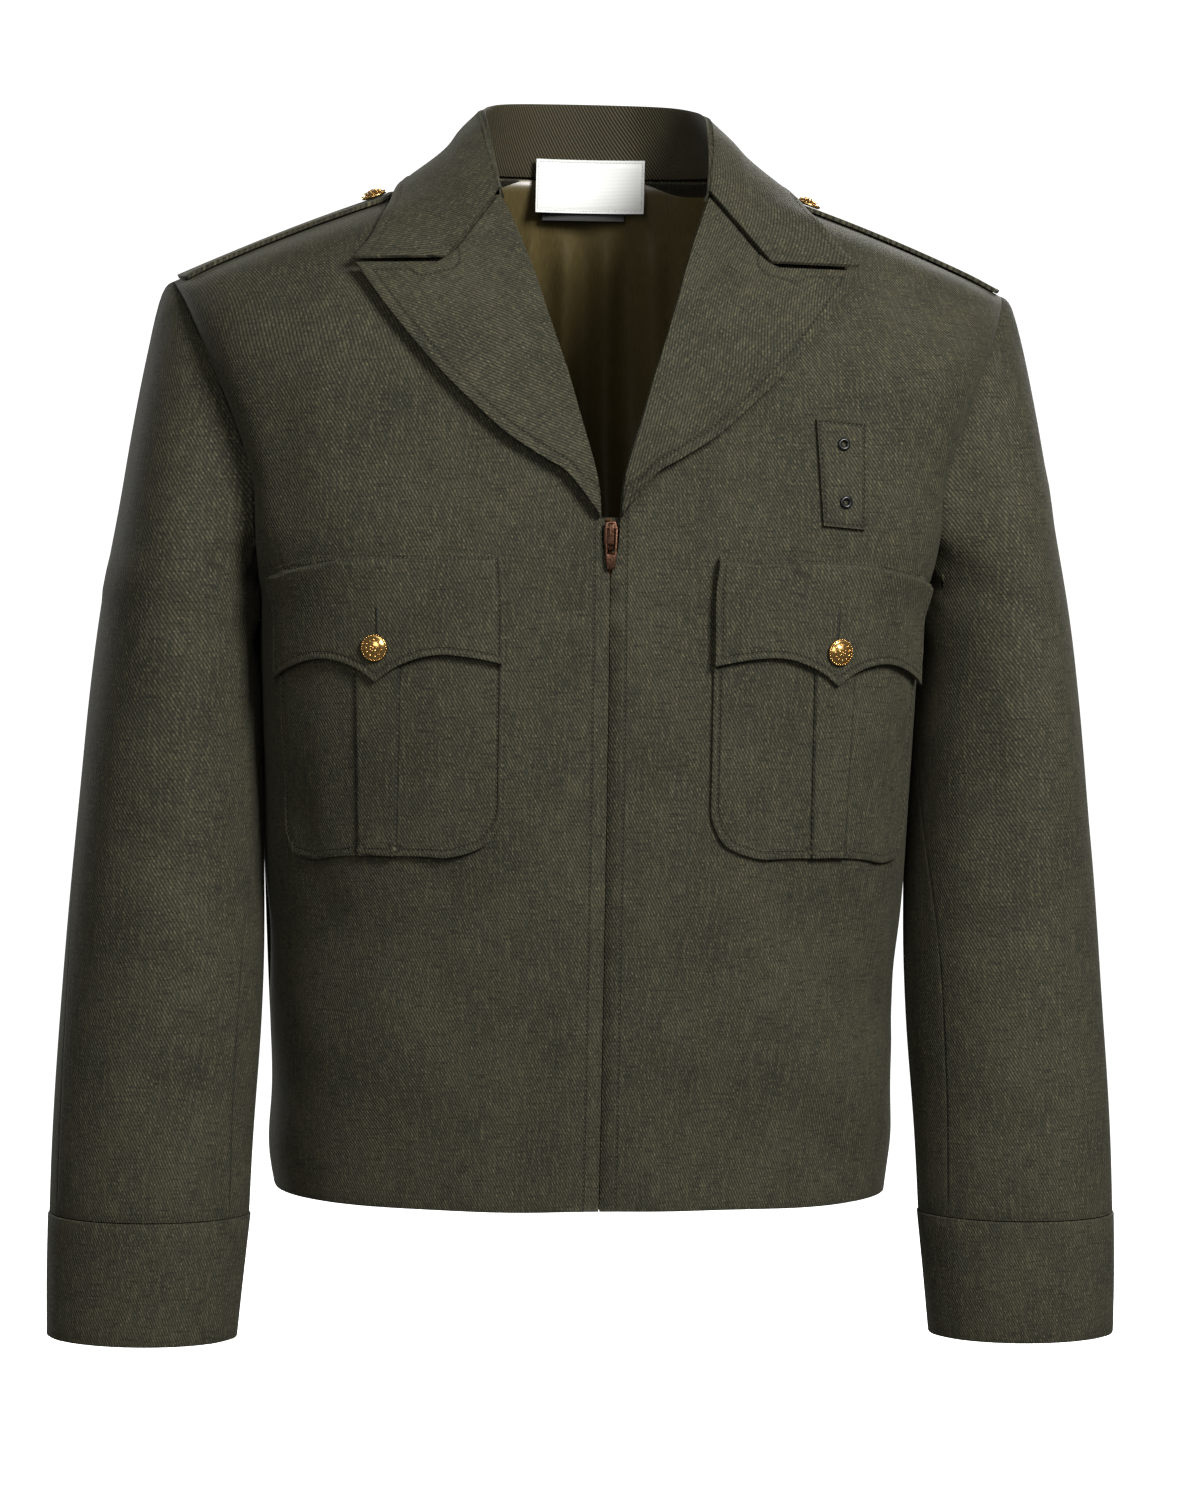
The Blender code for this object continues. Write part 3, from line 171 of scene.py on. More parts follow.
def spun(profile, steps, name):
    """A surface turned round Z from (radius, height) points."""
    bm = bmesh.new()
    points = [bm.verts.new((radius, 0.0, height)) for radius, height in profile]
    lines = [bm.edges.new(pair) for pair in zip(points, points[1:])]
    bmesh.ops.spin(bm, geom=points + lines, cent=(0, 0, 0), axis=(0, 0, 1), angle=math.tau, steps=steps,
                   use_merge=True)
    bmesh.ops.remove_doubles(bm, verts=bm.verts[:], dist=WELD)
    bmesh.ops.recalc_face_normals(bm, faces=bm.faces[:])
    mesh = mesh_of(bm, name)
    mesh.shade_smooth()
    return mesh


paper, paper_tree = new_material("matt_white_backdrop_paper")
# Matt paper scatters light evenly, so it shows no hot spot.
finish_material(paper_tree, add_node(paper_tree, "BsdfPrincipled", None, {
    "Base Color": linear("#f6f6f4"), "Roughness": 0.9, "Emission Color": linear("#ffffff"),
    "Emission Strength": PAPER_GLOW}))
sweep_mesh = spun(SWEEP_PROFILE, SWEEP_STEPS, "backdrop")
sweep_mesh.transform(Matrix.Translation((0, 0, FLOOR_Z)))
sweep_mesh.flip_normals()
sweep_mesh.materials.append(paper)
sweep = bpy.data.objects.new("backdrop", sweep_mesh)
bpy.context.scene.collection.objects.link(sweep)
# A long white sweep would light the jacket evenly from below and flatten it, and would wash out the metal, so
# neither its bounce nor its mirror image counts.
sweep.visible_diffuse = False
sweep.visible_glossy = False
print("backdrop faces", len(sweep_mesh.polygons))

# %% Lights
Softbox = namedtuple("Softbox", "name place aim width height watts")
SOFTBOXES = [
    Softbox("key", (1.10, -2.10, 1.10), (0.16, 0.0, 0.02), 0.8, 0.8, 116.0),
    Softbox("fill", (-0.9, -2.8, 0.6), (0.02, 0.0, -0.25), 1.2, 1.2, 23.0),
    Softbox("back_left", (1.3, 2.6, 1.0), (0.0, 0.0, -0.2), 1.0, 1.0, 80.0),
    Softbox("back_right", (-1.6, 2.4, 0.6), (0.0, 0.0, -0.3), 1.2, 1.2, 45.0),
]
WORLD_STRENGTH = 0.19


def add_softbox(box):
    data = bpy.data.lights.new(box.name, "AREA")
    data.shape = "RECTANGLE"
    data.size, data.size_y = box.width, box.height
    data.energy = box.watts
    made = bpy.data.objects.new(box.name, data)
    bpy.context.scene.collection.objects.link(made)
    made.location = box.place
    made.rotation_euler = (Vector(box.aim) - Vector(box.place)).to_track_quat("-Z", "Y").to_euler()
    return made


for box in SOFTBOXES:
    add_softbox(box)
world = bpy.data.worlds.new("studio_air")
world.use_nodes = True
world.node_tree.nodes["Background"].inputs["Color"].default_value = linear("#f8f8f6")
world.node_tree.nodes["Background"].inputs["Strength"].default_value = WORLD_STRENGTH
bpy.context.scene.world = world
bpy.context.scene.view_settings.view_transform = "Standard"
print("soft boxes", [box.name for box in SOFTBOXES])

# %% [markdown]
# ## A finer shell over each cloth wall
# The model's walls are coarse triangles. Two triangles that share their longest edge once were one quad, so
# dissolving that edge and then joining what is left gives the quads back. A subdivision surface on quads is
# smooth, but it shrinks away from its cage. So the cage is pushed out a few times by what it lost, until
# the smooth shell passes through the solid's own points. That keeps the seams between panels closed.

# %% Pair triangles into quads
SHARP = math.radians(50)
JOIN_BEND = math.radians(40)
JOIN_SKEW = math.radians(80)


def quad_cage(node):
    """The node's own points, with its triangles joined to quads where they were quads."""
    bm = bmesh.new()
    bm.from_mesh(nodes[node].data)
    bmesh.ops.remove_doubles(bm, verts=bm.verts[:], dist=WELD)
    longest = {f: max(f.edges, key=lambda e: e.calc_length()) for f in bm.faces}
    shared = [e for e in bm.edges if len(e.link_faces) == 2
              and all(len(f.verts) == 3 and longest[f] is e for f in e.link_faces)
              and e.calc_face_angle(0.0) < SHARP]
    bmesh.ops.dissolve_edges(bm, edges=shared, use_verts=False, use_face_split=False)
    bmesh.ops.join_triangles(bm, faces=[f for f in bm.faces if len(f.verts) == 3],
                             angle_face_threshold=JOIN_BEND, angle_shape_threshold=JOIN_SKEW)
    bm.normal_update()
    return bm


test = quad_cage("pocket_flap_left")
quads = sum(len(f.verts) == 4 for f in test.faces)
print("flap quads", quads, "other", len(test.faces) - quads)
test.free()

# %% Subdivide through the solid's points
FIT_ROUNDS = 8


def evaluated_mesh(made):
    """The object's mesh with its modifiers applied, as new data."""
    graph = bpy.context.evaluated_depsgraph_get()
    return bpy.data.meshes.new_from_object(made.evaluated_get(graph), depsgraph=graph)


def points_of(mesh):
    flat = np.zeros(len(mesh.vertices) * 3)
    mesh.vertices.foreach_get("co", flat)
    return flat.reshape(-1, 3)


def set_points(mesh, points):
    mesh.vertices.foreach_set("co", np.asarray(points, dtype=np.float32).ravel())
    mesh.update()


def add_object(name, mesh):
    made = bpy.data.objects.new(name, mesh)
    bpy.context.scene.collection.objects.link(made)
    return made


def refined(node, name, levels, round_edge=0.0):
    """A smooth fine copy of a wall that still passes through the points of its solid."""
    bm = quad_cage(node)
    creases = bm.edges.layers.float.new("crease_edge")
    for edge in bm.edges:
        if edge.calc_face_angle(0.0) > SHARP:
            edge[creases] = 1.0
    mesh = mesh_of(bm, name)
    made = add_object(name, mesh)
    finer = made.modifiers.new("finer", "SUBSURF")
    finer.levels = finer.render_levels = levels
    wanted = points_of(mesh)
    for _ in range(FIT_ROUNDS):
        got = evaluated_mesh(made)
        miss = wanted - points_of(got)[:len(wanted)]
        bpy.data.meshes.remove(got)
        set_points(mesh, points_of(mesh) + miss)
    if round_edge:
        softer = made.modifiers.new("round_edge", "BEVEL")
        softer.width = round_edge
        softer.segments = 2
        softer.limit_method = "ANGLE"
        softer.angle_limit = SHARP
    fine = evaluated_mesh(made)
    made.modifiers.clear()
    made.data = fine
    fine.name = name
    bpy.data.meshes.remove(mesh)
    fine.shade_smooth()
    miss_mm = round(float(abs(miss).max()) / MM, 3)
    print(name, "faces", len(fine.polygons), "misses its solid by mm", miss_mm)
    return made


# %% [markdown]
# ## Cloth coordinates
# Weave follows the cloth and not the room, so each panel carries a UV map in metres: along the weft and
# along the warp. On the body the weft runs round a rounded square, on a sleeve round its middle line, and
# on a strap along its width. Then a wale that is 1.5 mm apart is 1.5 mm apart everywhere.

# %% UV maps in metres
BODY_HALF = (0.187, 0.128)
BODY_SQUARE = 2.6
ROUND_STEPS = 721


def body_round():
    """Arc length round the body's section against the angle from the front, as a table."""
    angle = np.linspace(0.0, math.pi, ROUND_STEPS)
    across = np.abs(np.sin(angle)) ** (2 / BODY_SQUARE) * BODY_HALF[0]
    ahead = np.sign(np.cos(angle)) * np.abs(np.cos(angle)) ** (2 / BODY_SQUARE) * BODY_HALF[1]
    steps = np.hypot(np.diff(across), np.diff(ahead))
    return np.arctan2(across, ahead), np.concatenate([[0.0], np.cumsum(steps)])


ROUND_ANGLE, ROUND_LENGTH = body_round()
print("half way round the chest, m", round(float(ROUND_LENGTH[-1]), 3))


def eased(values, low, high):
    """0 below low and 1 above high, with a soft step between."""
    t = np.clip((values - low) / (high - low), 0.0, 1.0)
    return t * t * (3 - 2 * t)


ACROSS_FROM_Z = (-0.11, -0.03)
OVER_FROM_Z = (-0.12, -0.02)
OVER_SHARE = 0.6
SHOULDER_DEPTH = 0.12


def body_uv(points):
    """Round the body below the shoulders, and straight across and up over them."""
    x, y, z = points.T
    length = np.interp(np.arctan2(np.abs(x), -y), ROUND_ANGLE, ROUND_LENGTH)
    top = eased(z, *ACROSS_FROM_Z)
    straight = np.where(y > 0, ROUND_LENGTH[-1] - np.abs(x), np.abs(x))
    length = length * (1 - top) + straight * top
    over = eased(z, *OVER_FROM_Z) * OVER_SHARE * (SHOULDER_DEPTH - np.abs(y))
    return np.stack([np.copysign(length, x), z + over], axis=1)


SLEEVE_AXIS = [(-0.68, 0.2528, -0.050), (-0.5866, 0.2491, -0.0465), (-0.445, 0.2418, -0.029),
               (-0.325, 0.2388, -0.016), (-0.19, 0.2310, -0.005), (-0.05, 0.2200, 0.0)]
SLEEVE_RADIUS = 0.052


def sleeve_middle(points):
    """The middle line of a sleeve at each point's height, on the point's own side."""
    heights, outs, depths = zip(*SLEEVE_AXIS)
    middle_x = np.interp(points[:, 2], heights, outs)
    return np.copysign(middle_x, points[:, 0]), np.interp(points[:, 2], heights, depths)


def sleeve_uv(points):
    middle_x, middle_y = sleeve_middle(points)
    # The join of the map runs down the underarm, where it shows least.
    angle = np.arctan2(-(points[:, 1] - middle_y), (points[:, 0] - middle_x) * np.sign(points[:, 0]))
    return np.stack([-angle * SLEEVE_RADIUS * np.sign(points[:, 0]), points[:, 2]], axis=1)


def strap_uv(points):
    return np.stack([points[:, 1], points[:, 0]], axis=1)


COLLAR_RADIUS = 0.085
COLLAR_MIDDLE_Y = -0.004


def collar_uv(points):
    angle = np.arctan2(points[:, 0], points[:, 1] - COLLAR_MIDDLE_Y)
    out = np.hypot(points[:, 0], points[:, 1])
    return np.stack([angle * COLLAR_RADIUS, points[:, 2] - out], axis=1)


def turned(layout, degrees):
    """Another layout, turned on the cloth as a panel cut off the straight grain is. It mirrors at x = 0."""
    def layout_turned(points):
        uv = layout(points)
        angle = math.radians(degrees) * np.sign(points[:, 0])
        return np.stack([uv[:, 0] * np.cos(angle) - uv[:, 1] * np.sin(angle),
                         uv[:, 0] * np.sin(angle) + uv[:, 1] * np.cos(angle)], axis=1)
    return layout_turned


def lay_uv(made, layout):
    """Writes a layout into the piece's own UV map, corner by corner."""
    mesh = made.data
    per_point = layout(points_of(mesh))
    corners = np.zeros(len(mesh.loops), dtype=np.int32)
    mesh.loops.foreach_get("vertex_index", corners)
    for old in list(mesh.uv_layers):
        mesh.uv_layers.remove(old)
    layer = mesh.uv_layers.new(name="cloth")
    layer.data.foreach_set("uv", per_point[corners].astype(np.float32).ravel())


# %% [markdown]
# ## Creases, listed one by one
# A filled-out wool jacket has few folds: soft troughs that run from the armholes and the waist, and ridges
# beside them. Each is a short line seen from the front or the back, with a half width and a depth. All
# pieces that lie on the same cloth take the same shift, so a pocket sinks into a trough together with the
# front.

# %% Crease tables
Crease = namedtuple("Crease", "from_x from_z to_x to_z half_width depth")
FRONT_CREASES = [
    Crease(-0.178, -0.330, -0.150, -0.420, 0.012, 0.0016),
    Crease(-0.150, -0.470, -0.090, -0.440, 0.014, 0.0015),
    Crease(-0.165, -0.500, -0.120, -0.452, 0.010, -0.0012),
    Crease(-0.052, -0.560, -0.036, -0.470, 0.012, 0.0012),
    Crease(-0.040, -0.238, -0.014, -0.244, 0.006, 0.0009),
    Crease(-0.036, -0.252, -0.013, -0.256, 0.006, -0.0007),
    Crease(-0.186, -0.120, -0.176, -0.215, 0.014, 0.0020),
    Crease(-0.160, -0.085, -0.150, -0.150, 0.016, -0.0010),
    Crease(0.176, -0.480, 0.118, -0.440, 0.012, 0.0014),
    Crease(0.150, -0.560, 0.120, -0.530, 0.012, 0.0012),
    Crease(0.070, -0.500, 0.030, -0.470, 0.014, -0.0010),
    Crease(0.184, -0.135, 0.178, -0.210, 0.013, 0.0018),
    Crease(0.040, -0.240, 0.014, -0.236, 0.006, 0.0006),
]
BACK_CREASES = [
    Crease(-0.170, -0.120, -0.150, -0.230, 0.016, 0.0026),
    Crease(0.172, -0.140, 0.148, -0.250, 0.017, 0.0022),
    Crease(-0.120, -0.480, -0.060, -0.455, 0.016, 0.0018),
    Crease(0.140, -0.500, 0.060, -0.470, 0.015, 0.0016),
    Crease(-0.150, -0.560, -0.105, -0.520, 0.014, -0.0014),
    Crease(0.030, -0.560, 0.018, -0.470, 0.014, 0.0014),
    Crease(-0.030, -0.350, -0.022, -0.240, 0.018, -0.0010),
]
SLEEVE_FRONT_CREASES = [
    Crease(-0.292, -0.232, -0.240, -0.226, 0.012, -0.0016),
    Crease(-0.210, -0.262, -0.250, -0.243, 0.010, 0.0018),
    Crease(-0.272, -0.300, -0.280, -0.420, 0.012, -0.0014),
    Crease(-0.225, -0.395, -0.262, -0.372, 0.010, 0.0016),
    Crease(-0.214, -0.430, -0.250, -0.418, 0.010, -0.0012),
    Crease(-0.220, -0.520, -0.262, -0.500, 0.012, 0.0014),
    Crease(0.205, -0.225, 0.245, -0.240, 0.011, 0.0020),
    Crease(0.206, -0.205, 0.262, -0.170, 0.013, -0.0016),
    Crease(0.222, -0.285, 0.226, -0.385, 0.012, 0.0020),
    Crease(0.262, -0.310, 0.272, -0.400, 0.013, -0.0013),
    Crease(0.215, -0.430, 0.255, -0.410, 0.010, 0.0014),
    Crease(0.222, -0.540, 0.270, -0.520, 0.012, 0.0012),
]
SLEEVE_BACK_CREASES = [
    Crease(-0.208, -0.240, -0.262, -0.200, 0.014, 0.0026),
    Crease(-0.200, -0.400, -0.262, -0.380, 0.012, 0.0024),
    Crease(-0.205, -0.425, -0.255, -0.416, 0.010, -0.0014),
    Crease(0.208, -0.245, 0.260, -0.215, 0.014, 0.0024),
    Crease(0.200, -0.385, 0.265, -0.395, 0.012, 0.0026),
    Crease(0.208, -0.420, 0.250, -0.432, 0.010, -0.0014),
    Crease(0.225, -0.520, 0.275, -0.500, 0.012, 0.0014),
]
CREASE_FADE = 0.35
CREASE_GAIN = 1.4


def crease_depth(points, creases):
    """How far each point is pressed in. A crease fades out towards both its ends."""
    seen = points[:, [0, 2]]
    total = np.zeros(len(points))
    for crease in creases:
        start = np.array([crease.from_x, crease.from_z])
        run = np.array([crease.to_x, crease.to_z]) - start
        along = ((seen - start) @ run) / (run @ run)
        near = np.clip(along, 0.0, 1.0)
        away = np.linalg.norm(seen - start - near[:, None] * run, axis=1)
        fade = eased(along, -CREASE_FADE, CREASE_FADE) * (1 - eased(along, 1 - CREASE_FADE, 1 + CREASE_FADE))
        total += CREASE_GAIN * crease.depth * fade * np.exp(-(away / crease.half_width) ** 2)
    return total


UPWARDS_FROM_Z = (-0.13, 0.0)
UPWARDS_SHARE = 0.9


def unit(ways):
    return ways / np.maximum(np.linalg.norm(ways, axis=1, keepdims=True), 1e-9)


def body_out(points):
    """The way out of the body: sideways round the chest, and more upwards over the shoulders."""
    half = np.array(BODY_HALF)
    side = unit(np.sign(points[:, :2]) * (np.abs(points[:, :2]) / half) ** (BODY_SQUARE - 1) / half)
    up = eased(points[:, 2], *UPWARDS_FROM_Z)[:, None]
    return unit(np.concatenate([side * (1 - UPWARDS_SHARE * up), up], axis=1))


def sleeve_out(points):
    middle_x, middle_y = sleeve_middle(points)
    return unit(np.stack([points[:, 0] - middle_x, points[:, 1] - middle_y, np.zeros(len(points))], axis=1))


HemWave = namedtuple("HemWave", "length rise_mm phase")
HEM_WAVES = [HemWave(0.21, 1.1, 0.4), HemWave(0.087, 0.7, 1.9)]
HEM_REACH_Z = (-0.615, -0.555)


def hem_wave(points):
    """The hem isn't quite level: it rises and falls a little, and more so towards its edge."""
    near = 1 - eased(points[:, 2], *HEM_REACH_Z)
    rise = np.zeros(len(points))
    for wave in HEM_WAVES:
        rise += wave.rise_mm * MM * np.sin(math.tau * points[:, 0] / wave.length + wave.phase)
    return rise * near


# At the sides, where front and back creases would meet, none is pressed in.
BODY_SIDE_HALF = 0.020
SLEEVE_SIDE_HALF = 0.012
CUFF_HOLDS_Z = (-0.600, -0.560)
HEAD_HOLDS_Z = (-0.19, -0.08)


def pressed(points, ahead, front, back):
    """The depth of the front's creases where ahead is true, and of the back's elsewhere."""
    return np.where(ahead, crease_depth(points, front), crease_depth(points, back))


def body_shift(points):
    depth = pressed(points, points[:, 1] < 0, FRONT_CREASES, BACK_CREASES)
    side = 1 - np.exp(-(points[:, 1] / BODY_SIDE_HALF) ** 2)
    shift = -body_out(points) * (depth * side)[:, None]
    shift[:, 2] += hem_wave(points)
    return shift


def sleeve_shift(points):
    _, middle_y = sleeve_middle(points)
    depth = pressed(points, points[:, 1] < middle_y, SLEEVE_FRONT_CREASES, SLEEVE_BACK_CREASES)
    side = 1 - np.exp(-((points[:, 1] - middle_y) / SLEEVE_SIDE_HALF) ** 2)
    held = eased(points[:, 2], *CUFF_HOLDS_Z) * (1 - eased(points[:, 2], *HEAD_HOLDS_Z))
    return -sleeve_out(points) * (depth * side * held)[:, None]


def crease_piece(made, shift):
    points = points_of(made.data)
    set_points(made.data, points + shift(points))


# %% [markdown]
# ## Gabardine
# Gabardine is a tight steep twill of worsted yarn: fine ribs, called wales, climb across the cloth. This
# one is heathered, spun from olive, brown and grey-green fibres, so up close it is speckled and from a step
# away it is a deep olive drab. The recipe adds, from coarse to fine: wide blotches of tone, slubs along
# warp and weft, specks of single yarns, and the wales as colour and as bump. The real wales are about 0.8
# mm apart, which is too fine to show in the picture, so they are drawn 1.5 mm apart.

# %% Gabardine material
WALE_SPACING = 1.5 * MM
WALE_LEAN = 27.0
STITCH_CHANNEL = 0.55 * MM
CLOTH_DARK = "#25251b"
CLOTH_LIGHT = "#423f30"
CLOTH_BROWN = "#3f3928"
CLOTH_GREY = "#33382f"


def stretched(tree, uv, along_weft, along_warp):
    """UV divided by a feature's length along the weft and the warp, in metres."""
    return add_node(tree, "Mapping", None, {"Vector": uv, "Scale": (1 / along_weft, 1 / along_warp, 1.0)})


def cloth_map(tree):
    return add_node(tree, "UVMap", {"uv_map": "cloth"}).outputs["UV"]


def wales(tree, uv, lean, spacing, distortion, detail_scale):
    """Ribs this far apart in metres that climb at this lean: 1 on a rib and 0 between two."""
    turned_uv = add_node(tree, "Mapping", None, {"Vector": uv, "Rotation": (0.0, 0.0, math.radians(-lean))})
    return add_node(tree, "TexWave", {"wave_type": "BANDS", "bands_direction": "X"}, {
        "Vector": turned_uv.outputs[0], "Scale": math.tau / (20 * spacing), "Distortion": distortion,
        "Detail": 1.0, "Detail Scale": detail_scale}).outputs["Fac"]


def gabardine(name, contrast=1.0):
    made, tree = new_material(name)
    uv = cloth_map(tree)

    def noise(along_weft, along_warp, detail=2.0, seed=0.0):
        place = stretched(tree, uv, along_weft, along_warp).outputs[0]
        moved = add_node(tree, "VectorMath", {"operation": "ADD"}, {0: place, 1: (seed, seed, 0.0)})
        return add_node(tree, "TexNoise", {"noise_dimensions": "2D"}, {
            "Vector": moved.outputs[0], "Scale": 1.0, "Detail": detail, "Roughness": 0.6}).outputs["Fac"]

    def ramp(value, low, high, bottom, top):
        return add_node(tree, "MapRange", {"interpolation_type": "SMOOTHSTEP"}, {
            "Value": value, "From Min": low, "From Max": high, "To Min": bottom, "To Max": top}).outputs[0]

    def blend(base, colour, share, low, high, amount):
        return mixed(tree, ramp(share, low, high, 0.0, amount), base, colour)

    def times_plus(value, factor, plus):
        total = add_node(tree, "Math", {"operation": "MULTIPLY_ADD"}, {0: value, 1: factor, 2: plus})
        return total.outputs[0]

    wale = wales(tree, uv, WALE_LEAN, WALE_SPACING, 1.1, 0.35)
    warp_slub = noise(1.3 * MM, 15 * MM, seed=3.0)
    weft_slub = noise(11 * MM, 1.3 * MM, seed=7.0)
    speck = noise(1.1 * MM, 1.8 * MM, detail=1.0, seed=11.0)
    blotch = noise(38 * MM, 52 * MM, detail=3.0, seed=17.0)
    brown_patch = noise(16 * MM, 24 * MM, detail=3.0, seed=23.0)

    tone = linear(CLOTH_DARK)
    tone = blend(tone, linear(CLOTH_LIGHT), blotch, 0.0, 1.0, 0.85)
    tone = blend(tone, linear(CLOTH_BROWN), brown_patch, 0.46, 0.64, 0.22)
    tone = blend(tone, linear(CLOTH_GREY), brown_patch, 0.54, 0.38, 0.13)
    tone = blend(tone, linear("#4f4b37"), warp_slub, 0.48, 0.72, 0.50 * contrast)
    tone = blend(tone, linear("#191a14"), weft_slub, 0.50, 0.74, 0.55 * contrast)
    tone = blend(tone, linear("#6a634a"), speck, 0.58, 0.80, 0.50 * contrast)
    tone = blend(tone, linear("#101109"), wale, 0.62, 0.0, 0.66 * contrast)

    line = add_node(tree, "Attribute", {"attribute_name": "stitch_line"}).outputs["Fac"]
    away = add_node(tree, "Math", {"operation": "ABSOLUTE"}, {0: times_plus(line, 1.0, -1.0)}).outputs[0]
    channel = ramp(away, 0.0, 2 * STITCH_CHANNEL, 1.0, 0.0)
    # Painted shade: the channel along stitch lines, plain seams and the pleat's folds is darkened in the
    # colour, as shade lying in the groove.
    tone = mixed(tree, times_plus(channel, 0.70, 0.0), tone, linear("#0f100b"))

    height = times_plus(speck, 0.5, 0.0)
    height = times_plus(wale, 0.7, height)
    height = times_plus(warp_slub, 0.6, height)
    height = times_plus(channel, -2.2, height)
    # Wool worsted is matt. A faint warm sheen stands for the loose fibre ends at glancing angles.
    shader = add_node(tree, "BsdfPrincipled", None, {
        "Base Color": tone, "Roughness": 0.88, "IOR": 1.5, "Specular IOR Level": 0.25,
        "Normal": relief(tree, height, 0.8, 0.22 * MM), "Sheen Weight": 0.10, "Sheen Roughness": 0.45,
        "Sheen Tint": linear("#8d8c78")})
    finish_material(tree, shader)
    return made


cloth = gabardine("worsted_gabardine_twill", 1.15)
print("gabardine nodes", len(cloth.node_tree.nodes))

# %% [markdown]
# ## Where the needle went
# Topstitching runs a few millimetres inside an edge and pulls the cloth down into a shallow channel. Each
# shell stores how far every point lies from that line. The cloth's material reads it to sink the channel in
# its relief and to paint shade into it. The same value gives the line itself, as the contour where it is
# zero, for the thread to follow. Plain seams and the pleat's folds store their distance too, so they get the
# same sunk relief and painted shade.

# %% Distance from an edge
EDGE_SAMPLE = 0.8 * MM


def edge_samples(node):
    """Points along the sharp edges of a wall, a sample's length apart."""
    bm = quad_cage(node)
    found = []
    for edge in bm.edges:
        if edge.calc_face_angle(0.0) > SHARP:
            a, b = edge.verts[0].co, edge.verts[1].co
            steps = max(int(edge.calc_length() / EDGE_SAMPLE), 1)
            found += [a.lerp(b, k / steps) for k in range(steps + 1)]
    bm.free()
    return np.array(found)


def nearest(samples, points):
    """Which sample lies closest to each point, and how far away it is."""
    tree = KDTree(len(samples))
    for k, sample in enumerate(samples):
        tree.insert(sample, k)
    tree.balance()
    found = [tree.find(p) for p in points]
    return np.array([f[1] for f in found]), np.array([f[2] for f in found])


def distance_to(points, samples):
    return nearest(samples, points)[1]


def mark_stitch_line(made, distance):
    """Stores 1 plus the signed distance from the stitch line, so that 0 means that there is none."""
    layer = made.data.attributes.new("stitch_line", "FLOAT", "POINT")
    layer.data.foreach_set("value", (1.0 + distance).astype(np.float32))


print("flap edge samples", len(edge_samples("pocket_flap_left")))

# %% Sink the line and puff the edge
PULL_DEPTH = 0.50 * MM
PULL_HALF = 0.8 * MM
PUFF_RISE = 0.45 * MM
PUFF_HALF = 1.3 * MM
PUFF_FROM_LINE = 2.0 * MM
FACING_GAIN = 2.0
FACING_START = 0.3


def needle_pull(made, distance, away):
    """The thread holds the outer face down along its line, and the seam allowance puffs the edge band out."""
    points = points_of(made.data)
    normals = np.zeros((len(points), 3), dtype=np.float32)
    made.data.vertex_normals.foreach_get("vector", normals.ravel())
    way = away(points)
    facing = np.clip((normals * way).sum(axis=1) * FACING_GAIN - FACING_START, 0.0, 1.0)
    rise = (PUFF_RISE * np.exp(-((distance + PUFF_FROM_LINE) / PUFF_HALF) ** 2)
            - PULL_DEPTH * np.exp(-(distance / PULL_HALF) ** 2))
    set_points(made.data, points + way * (rise * facing)[:, None])


# %% [markdown]
# ## Thread
# A machine stitch shows as a short bead of thread every couple of millimetres. The channel's line is traced
# through the faces of the shell, from edge to edge, and a small bead with twenty faces lies on it at each
# step.

# %% Trace a contour on a shell
OUTER_FACING = 0.25


def contour(made, values, outward):
    """Lines on the outer side of a shell where a value per point passes zero: lists of (place, normal)."""
    mesh = made.data
    points = points_of(mesh)
    normals = np.zeros((len(mesh.polygons), 3))
    centres = np.zeros((len(mesh.polygons), 3))
    mesh.polygons.foreach_get("normal", normals.ravel())
    mesh.polygons.foreach_get("center", centres.ravel())
    outer = (normals * outward(centres)).sum(axis=1) > OUTER_FACING
    links, spots = {}, {}
    for face in mesh.polygons:
        if not outer[face.index]:
            continue
        ids = list(face.vertices)
        crossed = []
        for a, b in zip(ids, ids[1:] + ids[:1]):
            if (values[a] < 0) != (values[b] < 0):
                key = (min(a, b), max(a, b))
                share = values[key[0]] / (values[key[0]] - values[key[1]])
                spots[key] = (points[key[0]] * (1 - share) + points[key[1]] * share, normals[face.index])
                crossed.append(key)
        if len(crossed) == 2:
            links.setdefault(crossed[0], []).append(crossed[1])
            links.setdefault(crossed[1], []).append(crossed[0])
    lines, used = [], set()
    for start in sorted(links, key=lambda key: len(links[key])):
        if start in used:
            continue
        line, here = [], start
        while here is not None and here not in used:
            used.add(here)
            line.append(spots[here])
            here = next((k for k in links[here] if k not in used), None)
        if len(line) > 2:
            lines.append(line)
    return lines


# %% Lay beads of thread along lines
STITCH_PITCH = 2.6 * MM
STITCH_HALF = (0.95 * MM, 0.26 * MM, 0.20 * MM)
SHORTEST_LINE = 8 * MM


def stitch_line(bm, line, pitch=STITCH_PITCH, half=STITCH_HALF, across=False):
    """Beads of thread along one line, or across it as on a buttonhole."""
    places = np.array([place for place, _ in line])
    normals = np.array([normal for _, normal in line])
    steps = np.linalg.norm(np.diff(places, axis=0), axis=1)
    along = np.concatenate([[0.0], np.cumsum(steps)])
    if along[-1] < SHORTEST_LINE:
        return
    for at in np.arange(pitch / 2, along[-1], pitch):
        here, ahead, behind = (np.array([np.interp(at + off, along, places[:, axis]) for axis in range(3)])
                               for off in (0.0, pitch / 3, -pitch / 3))
        out = Vector([np.interp(at, along, normals[:, axis]) for axis in range(3)]).normalized()
        way = Vector(ahead - behind).normalized()
        side = out.cross(way).normalized()
        if across:
            way, side = side, way
        frame_of = Matrix((way * half[0], side * half[1], out * half[2])).transposed().to_4x4()
        bmesh.ops.create_icosphere(bm, subdivisions=1, radius=1.0, matrix=Matrix.Translation(here) @ frame_of)


